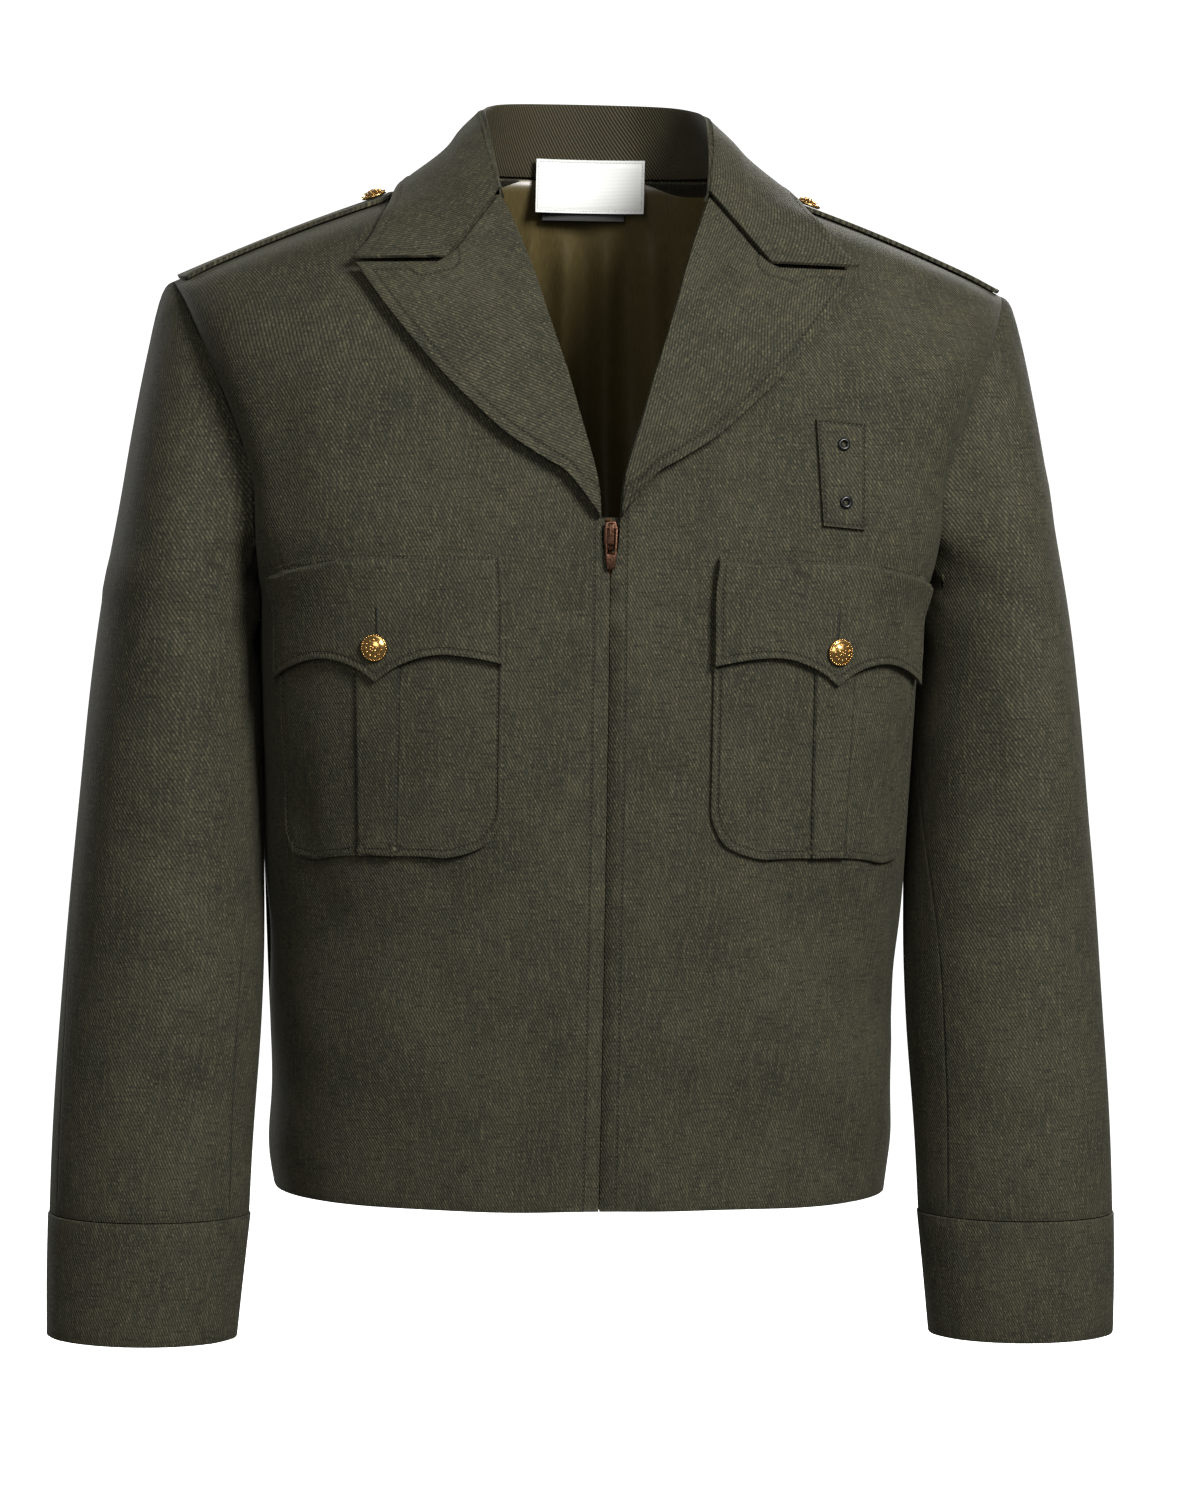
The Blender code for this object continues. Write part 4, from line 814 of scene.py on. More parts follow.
def add_threads(name, lines, look, slot_name, **how):
    """All the thread of one seam as one joined piece."""
    total = bpy.data.meshes.new(name)
    whole = bmesh.new()
    for line in lines:
        part = bmesh.new()
        stitch_line(part, line, **how)
        part.to_mesh(total)
        part.free()
        whole.from_mesh(total)
    whole.to_mesh(total)
    whole.free()
    total.shade_smooth()
    total.materials.append(look)
    made = add_object(name, total)
    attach(made, "jacket")
    print(name, "stitches", len(total.polygons) // 20)
    return made


# %% Thread material
def thread(name, code):
    """Spun polyester thread: smooth filaments, so a little glossier than the wool."""
    made, tree = new_material(name)
    place = add_node(tree, "TexCoord").outputs["Object"]
    twist = add_node(tree, "TexNoise", None, {"Vector": place, "Scale": 1 / (0.7 * MM), "Detail": 1.0})
    finish_material(tree, add_node(tree, "BsdfPrincipled", None, {
        "Base Color": mixed(tree, twist.outputs["Fac"], linear("#1c1c15"), linear(code)), "Roughness": 0.55,
        "Specular IOR Level": 0.4}))
    return made


olive_thread = thread("olive_polyester_thread", "#5a563f")
print("thread", olive_thread.name)

# %% [markdown]
# ## Dress a wall
# Every cloth piece goes through the same steps: refine its wall, press in the creases, lay its map, give it
# its cloth, and let it ride on the jacket and stand for its node. The edges get a small round, as a turned
# and pressed edge has.


# %% One function dresses a wall
def dress(node, levels, layout, look, slot_name, shift=None, round_edge=0.0, stitches=None, away=None,
          seams=None, thread_look=olive_thread, **thread_how):
    """stitches gives each point's signed distance from the thread, and seams that from a plain seam."""
    piece = refined(node, node + "_cloth", levels, round_edge)
    points = points_of(piece.data)
    marks = [line(points) for line in (stitches, seams) if line]
    if stitches:
        needle_pull(piece, marks[0], away)
    if shift:
        crease_piece(piece, shift)
    lay_uv(piece, layout)
    if marks:
        closest = np.abs(marks).argmin(axis=0)
        mark_stitch_line(piece, np.array(marks)[closest, np.arange(len(points))])
    piece.data.materials.clear()
    piece.data.materials.append(look)
    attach(piece, "jacket")
    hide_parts(node)
    if stitches:
        add_threads(node + "_topstitch", contour(piece, marks[0], away), thread_look, slot_name, **thread_how)
    return piece


# %% [markdown]
# ## Fronts, back and sleeves
# The two fronts meet edge to edge over the zip, so their turned edges are drawn together until only a dark
# line shows. A sleeve is sewn into its armhole: its rim is pulled to the rim of the body, and about 4 cm
# away that pull has faded out. Under the arm the sleeve leans on the side of the body.

# %% Front edges meet
PLACKET_GAP_HALF = 0.25 * MM
PLACKET_FULL = 1.0 * MM
PLACKET_REACH = 7 * MM
PLACKET_CLOSES = 0.75 * MM
PLACKET_TOP_Z = -0.222
PLACKET_FADE = 14 * MM
PLACKET_STITCH = 9 * MM
PLACKET_STITCH_TOP_Z = -0.185
NO_LINE_NEAR = 50 * MM


def close_front(points):
    """Draws the opening edges together below the slider."""
    edge = np.abs(points[:, 0])
    near = 1 - eased(edge, PLACKET_FULL, PLACKET_REACH)
    low = 1 - eased(points[:, 2], PLACKET_TOP_Z, PLACKET_TOP_Z + PLACKET_FADE)
    pull = np.minimum(edge - PLACKET_GAP_HALF, PLACKET_CLOSES) * near * low
    shift = np.zeros_like(points)
    shift[:, 0] = -np.sign(points[:, 0]) * np.maximum(pull, 0.0)
    return shift


def front_shift(points):
    return body_shift(points) + close_front(points)


def placket_stitches(points):
    """Along the closure, and nowhere near it above the lapel's root."""
    return np.where(points[:, 2] < PLACKET_STITCH_TOP_Z, np.abs(points[:, 0]) - PLACKET_STITCH, NO_LINE_NEAR)


# %% Sleeves drawn to the armhole
ARMHOLE_X = 0.185
ARMHOLE_LOW_Z = -0.245
SLEEVE_RIM_LOW_Z = -0.262
ARMHOLE_REACH = 38 * MM
RIM_HEIGHTS = (-0.12, -0.06)
RIM_WIDEST = (25 * MM, 5 * MM)
LEAN_HEIGHTS = (-0.46, -0.41, -0.365, -0.325, -0.290, -0.262, -0.240, -0.225)
LEAN_MM = (0.0, 0.4, 1.5, 3.2, 5.4, 7.2, 8.6, 7.0)


def armhole_rims():
    """Samples of the body's rims near the armholes."""
    rims = np.concatenate([edge_samples(node) for node in ("front_left", "front_right", "back")])
    return rims[(np.abs(rims[:, 0]) > ARMHOLE_X) & (rims[:, 2] > ARMHOLE_LOW_Z)]


BODY_RIMS = armhole_rims()


def join_armhole(node):
    """A shift that pulls the sleeve's rim to the body's rim, fading out down the sleeve."""
    rim = edge_samples(node)
    rim = rim[rim[:, 2] > SLEEVE_RIM_LOW_Z]
    target_index, gap = nearest(BODY_RIMS, rim)
    widest = np.interp(rim[:, 2], RIM_HEIGHTS, RIM_WIDEST)
    pull = np.where((gap < widest)[:, None], BODY_RIMS[target_index] - rim, 0.0)

    def shift(points):
        index, away = nearest(rim, points)
        weight = 1 - eased(away, 0.0, ARMHOLE_REACH)
        out = pull[index] * weight[:, None]
        middle_x, middle_y = sleeve_middle(points)
        inner = np.clip((middle_x - points[:, 0]) * np.sign(points[:, 0]) / SLEEVE_RADIUS, 0.0, 1.0)
        lean = np.interp(points[:, 2], LEAN_HEIGHTS, LEAN_MM) * MM * inner ** 2 * (1 - weight ** 2)
        out[:, 0] -= np.sign(points[:, 0]) * lean
        return out + sleeve_shift(points)
    return shift


HEM_SEAM_Z = -0.570
CUFF_SEAM_Z = -0.580
FRONT_EDGE_X = 0.060


def body_seams(node):
    """The shoulder, side and armhole seams of a body panel, without its hem and its front edge."""
    samples = edge_samples(node)
    return samples[(samples[:, 2] > HEM_SEAM_Z) & (np.abs(samples[:, 0]) > FRONT_EDGE_X)]


def sleeve_seams(node):
    samples = edge_samples(node)
    return samples[samples[:, 2] > CUFF_SEAM_Z]


# A plain seam's distance feeds the same channel: sunk in the relief and darkened with painted shade.
def seam_marks(samples):
    return lambda points: distance_to(points, samples)


pieces = {}
BODY_ROUND = 0.4 * MM
for side in ("left", "right"):
    node = f"front_{side}"
    pieces[node] = dress(node, 2, body_uv, cloth, "gabardine", front_shift, BODY_ROUND, placket_stitches,
                         body_out, seam_marks(body_seams(node)))
    for node in (f"top_sleeve_{side}", f"under_sleeve_{side}"):
        pieces[node] = dress(node, 2, sleeve_uv, cloth, "gabardine", join_armhole(node), BODY_ROUND,
                             seams=seam_marks(sleeve_seams(node)))
pieces["back"] = dress("back", 2, body_uv, cloth, "gabardine", body_shift, BODY_ROUND,
                       seams=seam_marks(body_seams("back")))
print("rims", len(BODY_RIMS))

# %% [markdown]
# ## Lapels, collar, pockets, straps and cuffs
# These are doubled pieces, sewn inside out, turned and pressed, then topstitched 3.5 to 5.5 mm inside the
# free edge, and the small badge tab 1.6 mm inside it. A lapel is stitched on its outer edge and not at the
# roll, and a collar on its leaf and not at the neck.

# %% Free edges and their stitching
COLLAR_STITCH_IN = 5.5 * MM
POCKET_STITCH_IN = 3.5 * MM
TAB_STITCH_IN = 1.6 * MM
PLATE_ROUND = 0.7 * MM
ROLL_CLEARANCE = 6.5 * MM
LEAF_POINT_X = 0.0895
LEAF_BACK_Y = 0.060
LEAF_OUT = 0.080
LEAF_TOP_Z = 0.02
LEAF_FACES_UP = 0.08
PLEAT_X = 0.127
PLEAT_REACH = 0.018
BAG_FOOT_Z = -0.3745
BAG_TOP_Z = -0.235


def inside_edge(node, keep, inset):
    """The stitch line that runs this far inside the kept part of an edge."""
    samples = edge_samples(node)
    kept = samples[keep(samples)]
    return lambda points: distance_to(points, kept) - inset


def free_of_front(side):
    """True where an edge isn't also the edge of the front, which is the roll line of a lapel."""
    front = edge_samples(f"front_{side}")
    return lambda samples: distance_to(samples, front) > ROLL_CLEARANCE


def leaf_edge(samples):
    """The free edge of the collar's leaf: its points in front, and its lower edge behind."""
    x, y, z = samples.T
    behind = (y > LEAF_BACK_Y) & (np.hypot(x, y) > LEAF_OUT) & (z < LEAF_TOP_Z)
    return (np.abs(x) > LEAF_POINT_X) | behind


def collar_away(points):
    return unit(points * np.array([1.0, 1.0, 0.0]) + np.array([0.0, 0.0, LEAF_FACES_UP]))


def all_face(*way):
    """The same way out for every point."""
    return lambda points: np.tile(way, (len(points), 1))


upwards = all_face(0.0, 0.0, 1.0)
towards_front = all_face(0.0, -1.0, 0.0)


def on_pleat(samples):
    """True at the folds of the box pleat, which stand inside the bag's outline."""
    return (np.abs(np.abs(samples[:, 0]) - PLEAT_X) < PLEAT_REACH) & (samples[:, 2] > BAG_FOOT_Z)


def bag_edge(samples):
    return (samples[:, 2] < BAG_TOP_Z) & ~on_pleat(samples)


def pleat_marks(node):
    samples = edge_samples(node)
    return seam_marks(samples[on_pleat(samples)])


FLAP_TOP_Z = -0.2105
FLAP_DROOP = 0.011
FLAP_BEND = 1.7
FLAP_HALF = 0.070
FLAP_TOP_BAND = 1.3 * MM
FLAP_STEP_BAND = 10 * MM
FLAP_END_BAND = 4.5 * MM


def flap_edge(samples):
    """The outline of a flap, without the small step under its top seam."""
    across = np.abs(samples[:, 0]) - PLEAT_X
    top = FLAP_TOP_Z - FLAP_DROOP * np.maximum(across / FLAP_HALF, 0.0) ** FLAP_BEND
    under = top - samples[:, 2]
    return (under < FLAP_TOP_BAND) | (under > FLAP_STEP_BAND) | (np.abs(across) > FLAP_HALF - FLAP_END_BAND)


LAPEL_POINT_X = 0.0885
LAPEL_POINT_Z = -0.056
STRAP_END_X = 0.2295


def lapel_edge(side):
    """The lapel's free edge: not its roll, and not the seam where it joins the collar."""
    free = free_of_front(side)
    return lambda samples: free(samples) & ((np.abs(samples[:, 0]) > LAPEL_POINT_X)
                                            | (samples[:, 2] < LAPEL_POINT_Z))


def strap_edge(samples):
    return np.abs(samples[:, 0]) < STRAP_END_X


def whole_edge(samples):
    return np.ones(len(samples), dtype=bool)


LAPEL_GRAIN = 42
TAB_ROUND = 0.4 * MM
PLATES = ("lapel", "pocket", "pocket_flap", "epaulette", "cuff")
lapel_uv = turned(body_uv, LAPEL_GRAIN)
for side in ("left", "right"):
    lapel, bag, flap, strap, cuff = (f"{kind}_{side}" for kind in PLATES)
    pieces[lapel] = dress(lapel, 3, lapel_uv, cloth, "gabardine", None, PLATE_ROUND,
                          inside_edge(lapel, lapel_edge(side), COLLAR_STITCH_IN), body_out)
    pieces[bag] = dress(bag, 3, body_uv, cloth, "gabardine", body_shift, PLATE_ROUND,
                        inside_edge(bag, bag_edge, POCKET_STITCH_IN), body_out, pleat_marks(bag))
    pieces[flap] = dress(flap, 3, body_uv, cloth, "gabardine", body_shift, PLATE_ROUND,
                         inside_edge(flap, flap_edge, POCKET_STITCH_IN), body_out)
    pieces[strap] = dress(strap, 3, strap_uv, cloth, "gabardine", None, PLATE_ROUND,
                          inside_edge(strap, strap_edge, POCKET_STITCH_IN), upwards)
    pieces[cuff] = dress(cuff, 2, sleeve_uv, cloth, "gabardine", None, PLATE_ROUND)
pieces["collar"] = dress("collar", 3, collar_uv, cloth, "gabardine", None, PLATE_ROUND,
                         inside_edge("collar", leaf_edge, COLLAR_STITCH_IN), collar_away)
pieces["badge_tab"] = dress("badge_tab", 3, body_uv, cloth, "gabardine", None, TAB_ROUND,
                            inside_edge("badge_tab", whole_edge, TAB_STITCH_IN), body_out)
pieces["zip_tape"] = dress("zip_tape", 1, body_uv, cloth, "gabardine")
print("cloth pieces", len(pieces))

# %% [markdown]
# ## The inner face of the collar
# The inner face is the underside of the collar's cloth turned in: the twill shows coarser and more golden
# there, with its wales climbing steeply. It is the same piece, so only its faces take the second cloth.

# %% A second cloth on the inner faces
GOLD_LEAN = 34.0
GOLD_WALE = 2.1 * MM
INNER_FACING = 0.2
INNER_LOW_Z = 0.002
INNER_FRONT_Y = -0.005


def gold_twill():
    made, tree = new_material("golden_olive_twill")
    uv = cloth_map(tree)
    wale = wales(tree, uv, GOLD_LEAN, GOLD_WALE, 0.6, 0.5)
    threads = stretched(tree, uv, 0.9 * MM, 1.6 * MM)
    speck = add_node(tree, "TexNoise", {"noise_dimensions": "2D"}, {
        "Vector": threads.outputs[0], "Scale": 1.0, "Detail": 1.0})
    tone = add_node(tree, "Mix", {"data_type": "RGBA", "blend_type": "MULTIPLY"}, {
        0: 0.6, 6: mixed(tree, wale, linear("#15130c"), linear("#524a31")), 7: speck.outputs["Color"]})
    # The inner face is less pressed, so its ribs stand up and catch light one by one.
    finish_material(tree, add_node(tree, "BsdfPrincipled", None, {
        "Base Color": tone.outputs[2], "Roughness": 0.8, "Specular IOR Level": 0.3,
        "Normal": relief(tree, wale, 0.9, 0.3 * MM)}))
    return made


pieces["collar"].data.materials.append(gold_twill())
for face in pieces["collar"].data.polygons:
    inwards = -Vector((face.center.x, face.center.y, 0.0)).normalized()
    in_neck = face.center.z > INNER_LOW_Z and face.center.y > INNER_FRONT_Y
    if in_neck and face.normal.dot(inwards) > INNER_FACING:
        face.material_index = 1
print("inner collar faces", sum(face.material_index for face in pieces["collar"].data.polygons))

# %% [markdown]
# ## Buttonholes
# A buttonhole is a slit bound by close stitches that stand side by side. Only the end that the button leaves
# free shows: above it on a pocket flap, and beside it on a shoulder strap. No slit is cut: the stitches lie
# on the cloth in near-black thread, which is the binding thread together with painted shade for the open
# slit.

# %% Bound slits
SLIT_SAMPLES = 12
RAY_START = 30 * MM
SLIT_PITCH = 0.75 * MM
SLIT_STITCH_HALF = (0.45 * MM, 1.2 * MM, 0.35 * MM)
Slit = namedtuple("Slit", "kind top bottom away")
SLITS = [
    Slit("pocket_flap", (0.1282, -0.12, -0.2405), (0.1276, -0.12, -0.2555), towards_front),
    Slit("epaulette", (0.1460, -0.008, -0.006), (0.1300, -0.006, -0.004), upwards),
]


def slit_line(piece, top, bottom, away):
    """Places and normals on the piece's outer face along a straight slit, found with rays."""
    found = []
    for share in np.linspace(0.0, 1.0, SLIT_SAMPLES):
        spot = top.lerp(bottom, share)
        way = Vector(away(np.array([spot]))[0])
        hit, place, normal, _ = piece.ray_cast(spot + way * RAY_START, -way)
        if hit:
            found.append((np.array(place), np.array(normal)))
    return found


bpy.context.view_layer.update()
# Painted shade: the buttonhole stitches are near black, standing for the shade in the open slit as well as
# for the binding thread.
slit_shade_thread = thread("buttonhole_thread_painted_slit_shade", "#17170f")
for side, sign in (("left", 1), ("right", -1)):
    mirror = Vector((sign, 1, 1))
    for slit in SLITS:
        piece = f"{slit.kind}_{side}"
        found = slit_line(pieces[piece], mirror * Vector(slit.top), mirror * Vector(slit.bottom), slit.away)
        add_threads(piece + "_buttonhole", [found], slit_shade_thread, "gabardine", pitch=SLIT_PITCH,
                    half=SLIT_STITCH_HALF)

# %% [markdown]
# ## Satin lining and the neck label
# The lining is cut wider than the back and hangs in soft upright folds with a pleat just beside the middle.
# Satin has long floats of shiny yarn, so light slides along the folds in narrow bands. The label is a plain
# woven patch, left blank, with a dark strip behind it that shows below its lower edge.

# %% Satin
def satin_material():
    made, tree = new_material("olive_satin_weave")
    threads = stretched(tree, cloth_map(tree), 0.5 * MM, 9 * MM)
    fine = add_node(tree, "TexNoise", {"noise_dimensions": "2D"}, {
        "Vector": threads.outputs[0], "Scale": 1.0, "Detail": 2.0})
    # Satin is smooth along its floats, so it mirrors the room softly, and its sheen is warm.
    finish_material(tree, add_node(tree, "BsdfPrincipled", None, {
        "Base Color": mixed(tree, fine.outputs["Fac"], linear("#3b321b"), linear("#625634")),
        "Roughness": 0.36, "Specular IOR Level": 0.6,
        "Normal": relief(tree, fine.outputs["Fac"], 0.15, 0.05 * MM),
        "Sheen Weight": 0.15, "Sheen Roughness": 0.3, "Sheen Tint": linear("#8c7c4c")}))
    return made


satin = satin_material()
LiningFold = namedtuple("LiningFold", "x lean width rise_mm")
LINING_FOLDS = [
    LiningFold(-0.110, 0.00, 0.009, 5.0),
    LiningFold(-0.088, 0.04, 0.009, 6.0),
    LiningFold(-0.064, 0.10, 0.006, 6.0),
    LiningFold(-0.045, 0.16, 0.005, 8.0),
    LiningFold(-0.031, 0.10, 0.004, 7.0),
    LiningFold(-0.006, 0.00, 0.008, 9.5),
    LiningFold(0.018, -0.04, 0.009, 8.5),
    LiningFold(0.046, -0.10, 0.010, 7.5),
    LiningFold(0.072, -0.05, 0.010, 6.0),
    LiningFold(0.098, -0.02, 0.010, 5.0),
]
FOLDS_START_BELOW = (0.012, 0.050)
FOLD_X_AT_DROP = 0.06
TUCK_BAND_Z = (-0.014, -0.003)
TUCK_FORWARD = 2.4 * MM
TUCK_UP = 10.0 * MM


def lining_shift(points):
    """Upright folds that stand towards the inside and fade out under the collar."""
    drop = -points[:, 2]
    rise = np.zeros(len(points))
    for fold in LINING_FOLDS:
        centre = fold.x - fold.lean * (drop - FOLD_X_AT_DROP)
        rise += fold.rise_mm * MM * np.exp(-((points[:, 0] - centre) / fold.width) ** 2)
    out = np.zeros_like(points)
    out[:, 1] = -rise * eased(drop, *FOLDS_START_BELOW)
    # The top edge is sewn in under the collar's seam.
    tucked = eased(points[:, 2], *TUCK_BAND_Z)
    out[:, 1] -= TUCK_FORWARD * tucked
    out[:, 2] += TUCK_UP * tucked
    return out


pieces["lining_back"] = dress("lining_back", 3, body_uv, satin, "satin", lining_shift)
print("lining folds", len(LINING_FOLDS))

# %% Label
TAPE_RIB = 0.8 * MM


def woven_white():
    made, tree = new_material("white_woven_polyester_tape")
    weave = add_node(tree, "TexWave", {"wave_type": "BANDS", "bands_direction": "Y"}, {
        "Vector": cloth_map(tree), "Scale": math.tau / (20 * TAPE_RIB), "Distortion": 0.4}).outputs["Fac"]
    # Tightly woven filament tape is bright and slightly silky.
    finish_material(tree, add_node(tree, "BsdfPrincipled", None, {
        "Base Color": mixed(tree, weave, linear("#cfcfcb"), linear("#e6e6e2")), "Roughness": 0.5,
        "Normal": relief(tree, weave, 0.4, 0.08 * MM), "Sheen Weight": 0.1}))
    return made


white_tape = woven_white()
white_thread = thread("white_polyester_thread", "#f2f2ee")
LABEL_STITCH_IN = 1.4 * MM
LABEL_PITCH = 1.9 * MM
LABEL_ROUND = 0.3 * MM
LABEL_ASIDE = 4.5 * MM
LABEL_AHEAD = 1.6 * MM


def upright_uv(points):
    return points[:, [0, 2]]


def label_shift(points):
    """The label is sewn a little to the wearer's left of the middle, clear of the collar's curve."""
    return np.tile([LABEL_ASIDE, -LABEL_AHEAD, 0.0], (len(points), 1))


pieces["neck_label"] = dress("neck_label", 3, upright_uv, white_tape, "label", label_shift, LABEL_ROUND,
                             inside_edge("neck_label", whole_edge, LABEL_STITCH_IN), towards_front,
                             thread_look=white_thread, pitch=LABEL_PITCH)

# %% Dark strip under the label
DARK_STRIP_SIZE = (49 * MM, 0.8 * MM, 10.5 * MM)
DARK_STRIP_ASIDE = 1.5 * MM
DARK_STRIP_BEHIND = 0.6 * MM
DARK_STRIP_UP = 0.8 * MM
DARK_STRIP_ROUND = 0.3 * MM
label_low, label_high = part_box("neck_label")
# A thin dark strip behind the label, showing only below its lower edge.
bm = bmesh.new()
place = Matrix.Translation((DARK_STRIP_ASIDE, label_high.y + DARK_STRIP_BEHIND, label_low.z + DARK_STRIP_UP))
bmesh.ops.create_cube(bm, size=1.0, matrix=place @ Matrix.Diagonal((*DARK_STRIP_SIZE, 1.0)))
bmesh.ops.bevel(bm, geom=bm.edges[:], offset=DARK_STRIP_ROUND, segments=2, profile=0.5, affect="EDGES",
                material=-1)
dark_strip = add_object("dark_strip_under_label", mesh_of(bm, "dark_strip_under_label"))
dark_strip.data.materials.append(thread("dark_under_label_strip", "#0b0b0a"))
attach(dark_strip, "jacket")
print("ribbon faces", len(dark_strip.data.polygons))

# %% [markdown]
# ## Metal
# Gilt buttons are brass stampings with a thin bright plating: a domed face with raised ornament and a beaded
# rim. The zip is brass too, plated and darkened to look like old copper, with worn bright edges; its teeth
# take a darker copy of that copper, which is painted shade for the narrow gap they sit in.
# Eyelets are brass under black enamel. The base colour of a metal is the colour of its mirror image.

# %% Metal materials
def plated(name, low_code, high_code, roughness, grit):
    """Plated metal whose tone and gloss vary over small distances, as handled plating does."""
    made, tree = new_material(name)
    place = add_node(tree, "TexCoord").outputs["Object"]
    cloud = add_node(tree, "TexNoise", None, {
        "Vector": place, "Scale": 1 / grit, "Detail": 3.0, "Roughness": 0.6}).outputs["Fac"]
    gloss = add_node(tree, "MapRange", None, {
        "Value": cloud, "From Min": 0.3, "From Max": 0.7, "To Min": roughness * 0.8,
        "To Max": roughness * 1.3})
    finish_material(tree, add_node(tree, "BsdfPrincipled", None, {
        "Base Color": mixed(tree, cloud, linear(low_code), linear(high_code)), "Metallic": 1.0,
        "Roughness": gloss.outputs[0], "Normal": relief(tree, cloud, 0.25, 0.03 * MM)}))
    return made


gilt = plated("gilt_brass_stamping", "#8c5a22", "#eac27a", 0.20, 0.9 * MM)
old_copper = plated("antique_copper_plating", "#1f1610", "#7d5a47", 0.32, 1.2 * MM)
# Painted shade: the teeth are the same copper as the slider, drawn darker as if shaded in the gap between the
# tapes.
teeth_copper_painted_shade = plated("zip_teeth_copper_painted_shade", "#24170f", "#5d3f2b", 0.45, 0.8 * MM)
enamel, enamel_tree = new_material("black_enamelled_brass")
# Baked enamel is a hard glossy paint, so it is black with a clear highlight.
finish_material(enamel_tree, add_node(enamel_tree, "BsdfPrincipled", None, {
    "Base Color": linear("#060607"), "Roughness": 0.30, "Specular IOR Level": 0.35}))
print("metals", gilt.name, old_copper.name, teeth_copper_painted_shade.name, enamel.name)

# %% [markdown]
# ## Buttons
# A uniform button carries a stamped crest. A crest is somebody's mark, so these carry a plain ornament of
# the same coarseness instead: a ring of leaves round a small rosette, inside a beaded rim.

# %% Button relief
BUTTON_RADIUS = 7.5 * MM
BUTTON_HEIGHT = 4.2 * MM
BUTTON_STEPS = 48
BUTTON_FOOT = [(0, 0), (0.80, 0), (0.97, 0.10)]
BUTTON_FACE = [(1.0, 0.26), (0.97, 0.40), (0.90, 0.46), (0.84, 0.44), (0.80, 0.50), (0.66, 0.70),
               (0.44, 0.86), (0.22, 0.94), (0, 0.97)]
Ornament = namedtuple("Ornament", "what count share half_mm twist")
ORNAMENTS = [
    Ornament("bead", 30, 0.93, (0.5, 0.5, 0.35), 0.0),
    Ornament("leaf", 11, 0.60, (1.15, 0.55, 0.55), 0.7),
    Ornament("petal", 6, 0.24, (1.05, 0.50, 0.50), 0.0),
    Ornament("middle", 1, 0.0, (0.8, 0.8, 0.7), 0.0),
]


def dome_height(share):
    """The height of the button's face at this share of its radius."""
    outs, ups = zip(*BUTTON_FACE)
    return float(np.interp(share, outs[::-1], ups[::-1])) * BUTTON_HEIGHT


def ornament(bm, kind, turn):
    """One leaf, petal or bead of the relief, half sunk in the face."""
    out = Matrix.Translation((kind.share * BUTTON_RADIUS, 0, dome_height(kind.share)))
    size = Matrix.Diagonal((*(half * MM for half in kind.half_mm), 1.0))
    place = Matrix.Rotation(turn, 4, "Z") @ out @ Matrix.Rotation(kind.twist, 4, "Z") @ size
    bmesh.ops.create_icosphere(bm, subdivisions=2, radius=1.0, matrix=place)


def button_mesh(name):
    profile = [(out * BUTTON_RADIUS, up * BUTTON_HEIGHT) for out, up in BUTTON_FOOT + BUTTON_FACE]
    mesh = spun(profile, BUTTON_STEPS, name)
    bm = bmesh.new()
    bm.from_mesh(mesh)
    for kind in ORNAMENTS:
        for k in range(kind.count):
            ornament(bm, kind, math.tau * k / kind.count)
    bm.to_mesh(mesh)
    bm.free()
    mesh.shade_smooth()
    return mesh


BASE_BAND = 0.05 * MM


def axis_of(node):
    """The middle of a flat turned node's base and its axis, pointing out of the jacket."""
    points = np.unique(points_of(nodes[node].data).round(6), axis=0)
    centre = (points.max(axis=0) + points.min(axis=0)) / 2
    away = points - points.mean(axis=0)
    axis = np.linalg.svd(away)[2][2]
    axis *= np.sign(axis @ body_out(centre[None])[0])
    height = points @ axis
    base = points[height < height.min() + BASE_BAND].mean(axis=0)
    return Vector(base), Vector(axis)


def stood_on(base, axis):
    """The place of a piece that was built upright at the origin."""
    return Matrix.Translation(base) @ Vector((0, 0, 1)).rotation_difference(axis).to_matrix().to_4x4()


for side in ("left", "right"):
    for kind in ("pocket_button", "epaulette_button"):
        node = f"{kind}_{side}"
        base, axis = axis_of(node)
        mesh = button_mesh(node + "_gilt")
        mesh.transform(stood_on(base, axis))
        mesh.materials.append(gilt)
        button = add_object(node + "_gilt", mesh)
        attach(button, "jacket")
        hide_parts(node)
        print(button.name, "faces", len(mesh.polygons), "axis", [round(v, 2) for v in axis])

# %% [markdown]
# ## Eyelets, slider and pull
# The slider, its pull and the bottom stop keep their solid's form. Their flat sides are found by dissolving
# the triangles, and every edge gets a fine round that catches the light, as a die-cast part does. An eyelet
# is a turned ring that stands where its solid is.

# %% Rounded copies of the hard parts
FLAT_ENOUGH = math.radians(2)


def softened_metal(node, width, look, body):
    bm = bmesh.new()
    bm.from_mesh(nodes[node].data)
    bmesh.ops.remove_doubles(bm, verts=bm.verts[:], dist=WELD)
    bmesh.ops.dissolve_limit(bm, angle_limit=FLAT_ENOUGH, verts=bm.verts[:], edges=bm.edges[:])
    bmesh.ops.bevel(bm, geom=bm.edges[:], offset=width, segments=3, profile=0.5, affect="EDGES", material=-1,
                    clamp_overlap=True)
    mesh = mesh_of(bm, node + "_metal")
    mesh.shade_smooth()
    mesh.set_sharp_from_angle(angle=SHARP)
    mesh.materials.append(look)
    made = add_object(node + "_metal", mesh)
    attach(made, body)
    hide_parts(node)
    print(made.name, "faces", len(mesh.polygons))
    return made


softened_metal("zip_slider", 0.30 * MM, old_copper, "jacket")
softened_metal("zip_pull", 0.25 * MM, old_copper, "pull_tab")
softened_metal("zip_stop", 0.25 * MM, old_copper, "jacket")

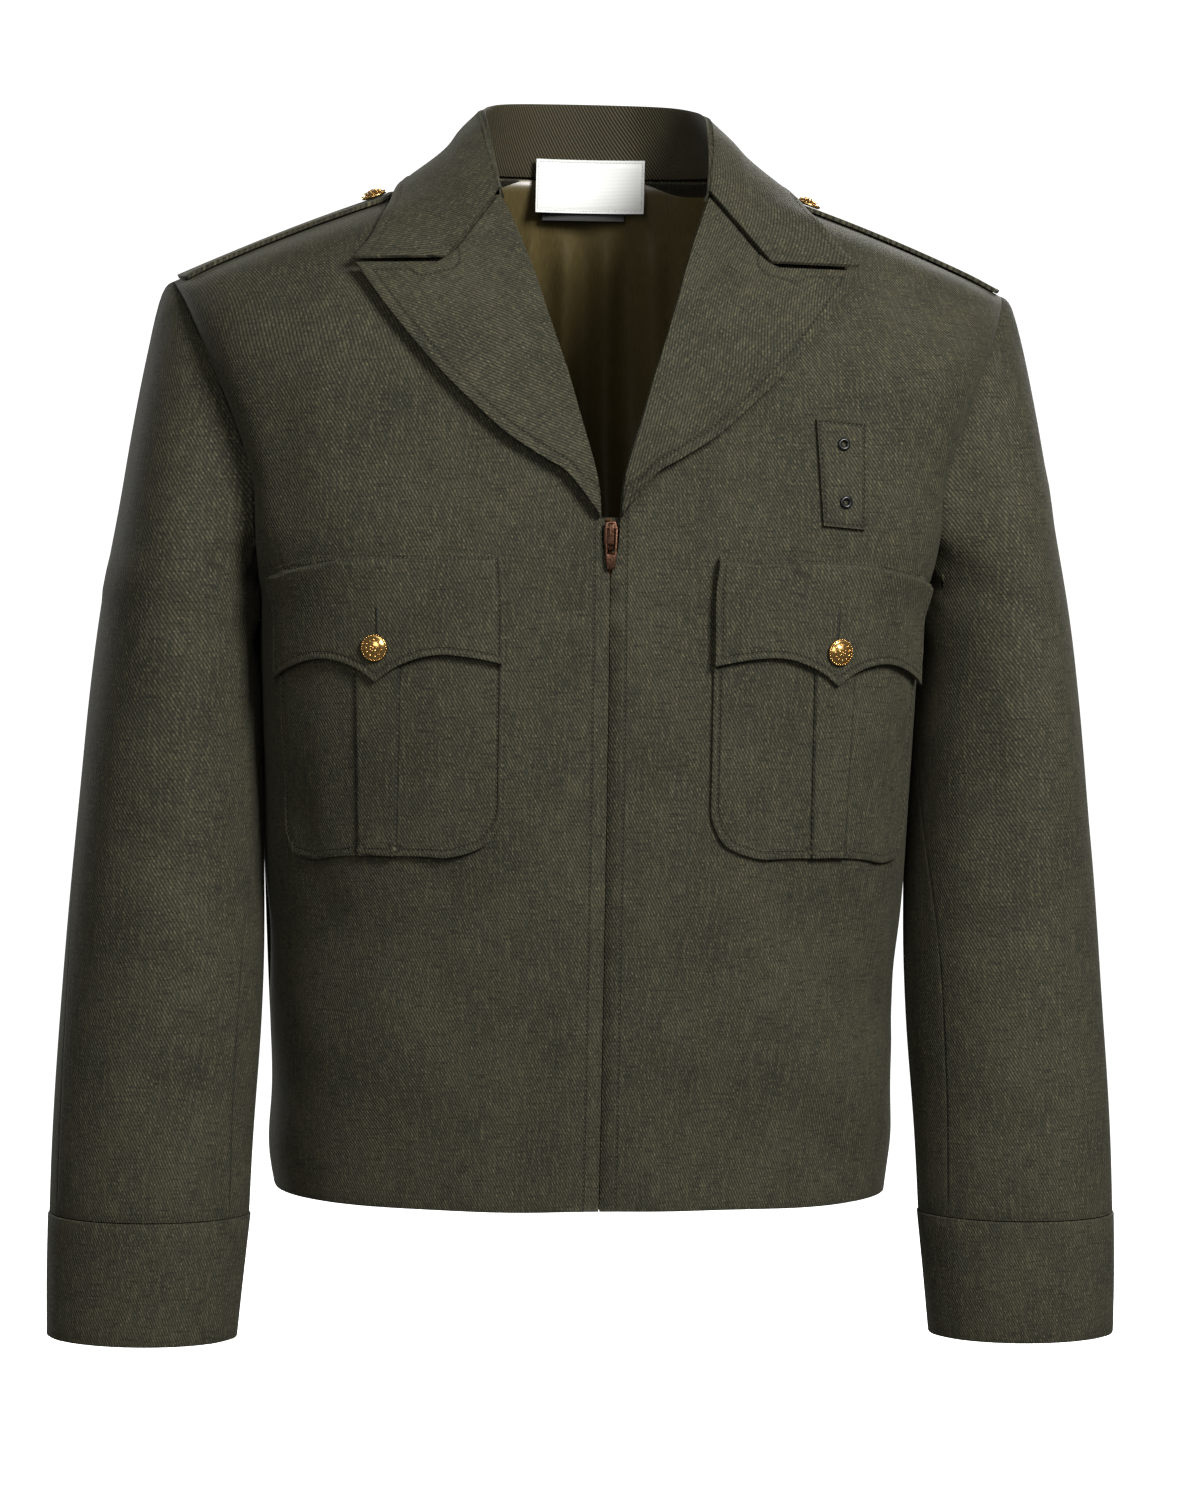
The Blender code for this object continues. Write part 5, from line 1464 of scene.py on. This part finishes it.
# %% Eyelets
EYELET_PROFILE_MM = [(1.3, 0.0), (3.5, 0.05), (3.6, 0.35), (3.3, 0.75), (2.7, 1.0), (2.1, 0.95), (1.6, 0.6),
                     (1.3, 0.0)]
EYELET_STEPS = 40
for node in ("eyelet_upper", "eyelet_lower"):
    base, axis = axis_of(node)
    mesh = spun([(out * MM, up * MM) for out, up in EYELET_PROFILE_MM], EYELET_STEPS, node + "_enamel")
    mesh.transform(stood_on(base, axis))
    mesh.materials.append(enamel)
    ring = add_object(node + "_enamel", mesh)
    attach(ring, "jacket")
    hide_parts(node)
    print(ring.name, "faces", len(mesh.polygons))

# %% [markdown]
# ## Zip teeth
# Cast teeth are clamped on each tape in turn, so the left and right ones alternate. Each is a plain small
# block here, one every 2.4 mm on each side, and the row follows the line of the chain.

# %% Teeth
TOOTH_PITCH = 2.4 * MM
TOOTH_SIZE = (3.0 * MM, 1.0 * MM, 1.1 * MM)
TOOTH_OFFSET = 1.0 * MM
TOOTH_SUNK = 0.55 * MM


def chain_front():
    """The heights of the chain's rows of points, and how far ahead each row's front lies."""
    rows = {}
    for _, y, z in points_of(nodes["zip_chain"].data):
        rows.setdefault(round(z, 5), []).append(y)
    heights = sorted(rows)
    return heights, [min(rows[z]) for z in heights]


row_z, row_y = chain_front()
teeth = bmesh.new()
heights = np.arange(row_z[0] + TOOTH_OFFSET, row_z[-1], TOOTH_PITCH / 2)
for k, z in enumerate(heights):
    side = 1 if k % 2 else -1
    y = float(np.interp(z, row_z, row_y)) + TOOTH_SUNK
    spot = Matrix.Translation((side * TOOTH_OFFSET, y, z)) @ Matrix.Diagonal((*TOOTH_SIZE, 1.0))
    bmesh.ops.create_cube(teeth, size=1.0, matrix=spot)
zip_teeth = add_object("zip_teeth", mesh_of(teeth, "zip_teeth"))
# Painted shade: the teeth take the darker copy of the copper.
zip_teeth.data.materials.append(teeth_copper_painted_shade)
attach(zip_teeth, "jacket")
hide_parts("zip_chain")
print("teeth", len(heights))

# %% [markdown]
# ## How each sheet was cut
# Cloth doesn't stretch much, so each shell has to have about the area that was cut for it. The flat sizes
# below are the visible cut of each piece, without turnings.

PAIR = ("_left", "_right")
ONE = ("",)
Sheet = namedtuple("Sheet", "sides width length area held rests_on")
SHEETS = {
    "front": Sheet(PAIR, 0.28, 0.62, 0.150, "hung", None),
    "back": Sheet(ONE, 0.54, 0.64, 0.298, "hung", None),
    "top_sleeve": Sheet(PAIR, 0.18, 0.53, 0.0695, "hung", None),
    "under_sleeve": Sheet(PAIR, 0.22, 0.52, 0.100, "hung", None),
    "cuff": Sheet(PAIR, 0.325, 0.070, None, "hung", None),
    "lapel": Sheet(PAIR, 0.108, 0.200, 0.0102, "folded", "front"),
    "pocket": Sheet(PAIR, 0.140, 0.168, 0.0230, "laid", "front"),
    "pocket_flap": Sheet(PAIR, 0.140, 0.072, 0.0093, "laid", "pocket"),
    "epaulette": Sheet(PAIR, 0.054, 0.124, 0.0065, "laid", "front"),
    "collar": Sheet(ONE, 0.43, 0.110, 0.0443, "folded", None),
    "badge_tab": Sheet(ONE, 0.028, 0.061, None, "laid", "front_left"),
    "zip_tape": Sheet(ONE, 0.022, 0.386, None, "hung", None),
    "lining_back": Sheet(ONE, 0.30, 0.27, 0.074, "hung", None),
    "neck_label": Sheet(ONE, 0.064, 0.031, None, "laid", "lining_back"),
    "dark_strip_under_label": Sheet(ONE, 0.049, 0.0105, None, "laid", "lining_back"),
}
pieces["dark_strip_under_label"] = dark_strip
for kind, sheet in SHEETS.items():
    cut = sheet.area or round(sheet.width * sheet.length, 4)
    for side in sheet.sides:
        name = kind + side
        covered = sum(face.area for face in pieces[name].data.polygons) / 2
        print("sheet", name, "m2", round(covered, 4), "cut m2", cut)
